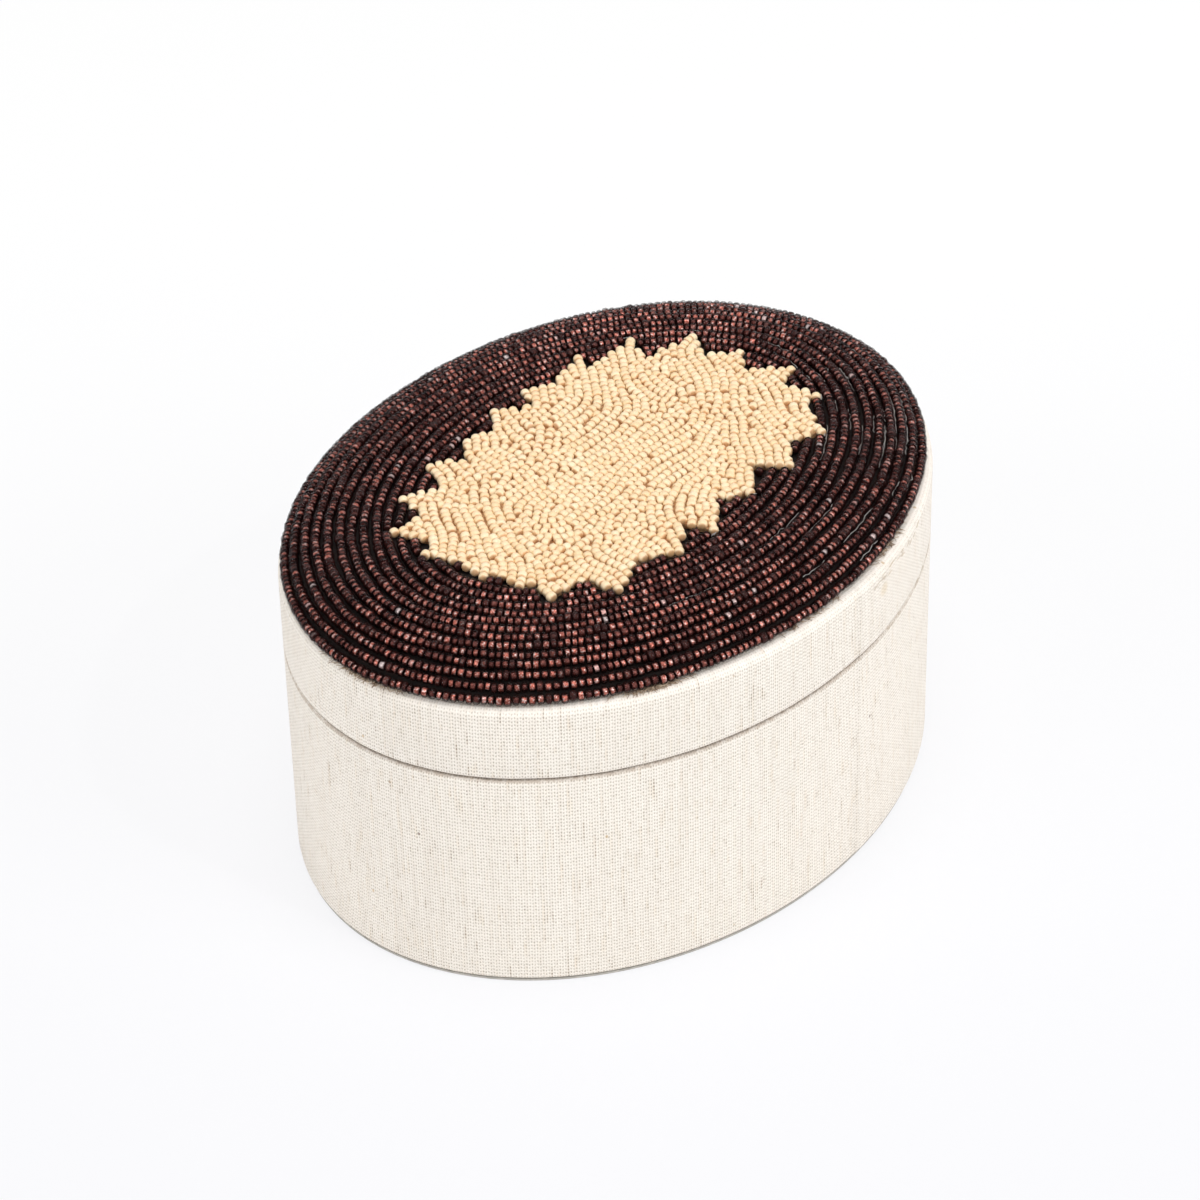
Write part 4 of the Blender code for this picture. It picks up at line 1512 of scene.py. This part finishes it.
class KEEPSAKE_OT_threads(bpy.types.Operator):
    """Adds the couching threads between the strands and the frayed edge of the dark cloth."""
    bl_idname = "keepsake.threads"
    bl_label = "Threads"

    COUCHING_PER_GAP = 6
    COUCHING_TURN = (-42, 34)       # middle and spread of the couching round the panel, in degrees
    COUCHING_REACH = (3, 13)        # how far round one thread runs, in degrees
    COUCHING_LIFT = 0.0013
    COUCHING_RADIUS = 0.00006
    COUCHING_STEPS = 8
    FRONT_TIPS = 0.022              # how far towards the camera a ray's tip shows its thread ends
    FRINGE_COUNT = 240
    # Thick tufts at the rim: turn in degrees, spread and number of fibres
    TUFTS = ((232, 3.0, 150), (178, 4.2, 130), (283, 3.0, 60), (262, 4.0, 40))
    STITCH_COUNT = 20
    STITCH_TURN = (280, 4.5)
    ON_LINEN = 0.00034              # from the solid's outline to the linen's face, with its threads

    def execute(self, context):
        self.chance = random.Random(23)
        self.add_couching()
        self.add_fibres()
        return {"FINISHED"}

    @staticmethod
    def new_shape():
        shape = bmesh.new()
        shape.verts.layers.float.new("tone")
        return shape

    @staticmethod
    def tube(shape, points, radius, tone, sides=4):
        """A thin tube through the points, closed at both ends."""
        layer = shape.verts.layers.float["tone"]
        direction = (points[1] - points[0]).normalized()
        matrix = Matrix.Translation(points[0]) @ direction.to_track_quat("Z", "Y").to_matrix().to_4x4()
        ring = bmesh.ops.create_circle(shape, segments=sides, radius=radius, matrix=matrix)["verts"]
        for vert in ring:
            vert[layer] = tone
        edges = edges_of(ring)
        fill_rings(shape, edges)
        for here, there in zip(points, points[1:]):
            verts, edges = extruded(shape, edges)
            bmesh.ops.translate(shape, verts=verts, vec=there - here)
        fill_rings(shape, edges)

    def add_couching(self):
        """Pale threads that lie in the gaps between strands, mostly at the +X end."""
        shape = self.new_shape()
        insets = strand_insets(bead_settings().whole_strands + 1)
        for outer, inner in zip(insets, insets[1:]):
            middle = (outer + inner) / 2
            for _ in range(self.COUCHING_PER_GAP):
                turn = math.radians(self.chance.gauss(*self.COUCHING_TURN))
                reach = math.radians(self.chance.uniform(*self.COUCHING_REACH))
                points = []
                for step in range(self.COUCHING_STEPS + 1):
                    at = turn + reach * step / self.COUCHING_STEPS
                    inset = spread_inset(middle, at) + self.chance.gauss(0, 0.00011)
                    lift = self.COUCHING_LIFT + self.chance.gauss(0, 0.00010)
                    points.append(on_panel(at, *dome_point(inset, lift)))
                self.tube(shape, points, self.COUCHING_RADIUS, self.chance.random())
        self.add_thread_ends(shape)
        face_outwards(shape)
        add_piece("couching_threads", shape, "clear_thread", "lid")

    def add_thread_ends(self, shape):
        """White ends of thread that stand out at the tips of the rays nearest the front."""
        for tip in sunburst_corners()[0::2]:
            if tip.x - tip.y > self.FRONT_TIPS:
                for _ in range(self.chance.randint(1, 2)):
                    turn = math.atan2(tip.y, tip.x) + math.pi / 2 + self.chance.gauss(0, 0.5)
                    aside = Vector((math.cos(turn), math.sin(turn), 0)) * self.chance.uniform(0.0005, 0.0010)
                    middle = Vector((tip.x, tip.y + PANEL_SHIFT, SUNBURST_UNDER + 0.0013))
                    middle += Vector((tip.x, tip.y, 0)).normalized() * self.chance.uniform(0.0002, 0.0008)
                    drop = Vector((0, 0, self.chance.uniform(0.0004, 0.0008)))
                    self.tube(shape, [middle - aside - drop, middle, middle + aside - drop], 0.00013, 1.0)

    def add_fibres(self):
        """Fibres of the cut cloth edge: few all round, and thick tufts in some places."""
        shape = self.new_shape()
        fringe = [(self.chance.uniform(0, 360), 0.8) for _ in range(self.FRINGE_COUNT)]
        for centre, spread, count in self.TUFTS:
            fringe += [(self.chance.gauss(centre, spread), 1.5) for _ in range(count)]
        for degrees, size in fringe:
            turn = math.radians(degrees)
            out = outwards_at(turn)
            start = on_panel(turn, 0, RIM + (0.0001 + self.chance.uniform(0, 0.0003) * size))
            aside = Vector((-out.y, out.x, 0)) * self.chance.gauss(0, 1.2)
            length = self.chance.uniform(0.0006, 0.0013) * size
            points = [start + out * 0.0006 * size]
            for step in range(1, 4):
                droop = Vector((0, 0, self.chance.uniform(-0.5, 0.25)))
                point = points[-1] + (out + aside * step / 2 + droop).normalized() * length / 3
                point.z = max(point.z, RIM + 0.00008)
                points.append(point)
            radius = self.chance.uniform(0.000025, 0.00005) * size
            self.tube(shape, points, radius, self.chance.random(), 3)
        self.add_stray_stitches(shape)
        face_outwards(shape)
        add_piece("frayed_edge", shape, "frayed_fibre", "lid")

    def add_stray_stitches(self, shape):
        """Short brown threads that lie on the linen just under the rim."""
        half_length, half_width = (half + self.ON_LINEN for half in HALF_BOX)
        for _ in range(self.STITCH_COUNT):
            turn = math.radians(self.chance.gauss(*self.STITCH_TURN))
            down = self.chance.uniform(0.0006, 0.0024)
            reach = self.chance.uniform(0.4, 0.9) / 1000 / HALF_BOX[0]
            points = []
            for step in (-1, 0, 1):
                at = turn + reach * step
                points.append(Vector((half_length * math.cos(at), half_width * math.sin(at),
                                      RIM - down + step * self.chance.uniform(0.0, 0.0004))))
            self.tube(shape, points, self.chance.uniform(0.00004, 0.00007), self.chance.uniform(0.6, 1.0), 3)


class KEEPSAKE_PT_panel(bpy.types.Panel):
    """Shows the settings of the studio, the cloth and the beads, and a button for each step."""
    bl_idname = "KEEPSAKE_PT_panel"
    bl_label = "Keepsake Box"
    bl_space_type = "VIEW_3D"
    bl_region_type = "UI"
    bl_category = "Keepsake Box"

    def draw(self, context):
        layout = self.layout
        for settings in ("keepsake_studio", "keepsake_cloth", "keepsake_beads"):
            group = getattr(context.scene, settings)
            column = layout.column(heading=settings)
            for name in group.__annotations__:
                column.prop(group, name)
        for operator in OPERATORS:
            layout.operator(operator.bl_idname)


OPERATORS = (
    KEEPSAKE_OT_studio,
    KEEPSAKE_OT_boards,
    KEEPSAKE_OT_linen,
    KEEPSAKE_OT_linings,
    KEEPSAKE_OT_panel,
    KEEPSAKE_OT_dark_beads,
    KEEPSAKE_OT_cream_beads,
    KEEPSAKE_OT_threads,
)
SETTINGS = {
    "keepsake_studio": KeepsakeStudioSettings,
    "keepsake_cloth": KeepsakeClothSettings,
    "keepsake_beads": KeepsakeBeadSettings,
}


def register():
    for name, group in SETTINGS.items():
        bpy.utils.register_class(group)
        setattr(bpy.types.Scene, name, PointerProperty(type=group))
    for operator in OPERATORS:
        bpy.utils.register_class(operator)
    bpy.utils.register_class(KEEPSAKE_PT_panel)


def unregister():
    bpy.utils.unregister_class(KEEPSAKE_PT_panel)
    for operator in reversed(OPERATORS):
        bpy.utils.unregister_class(operator)
    for name, group in SETTINGS.items():
        delattr(bpy.types.Scene, name)
        bpy.utils.unregister_class(group)


def main():
    register()
    bpy.ops.keepsake.studio()
    bpy.ops.keepsake.boards()
    bpy.ops.keepsake.linen()
    bpy.ops.keepsake.linings()
    bpy.ops.keepsake.panel()
    bpy.ops.keepsake.dark_beads()
    bpy.ops.keepsake.cream_beads()
    bpy.ops.keepsake.threads()


if __name__ == "__main__":
    main()
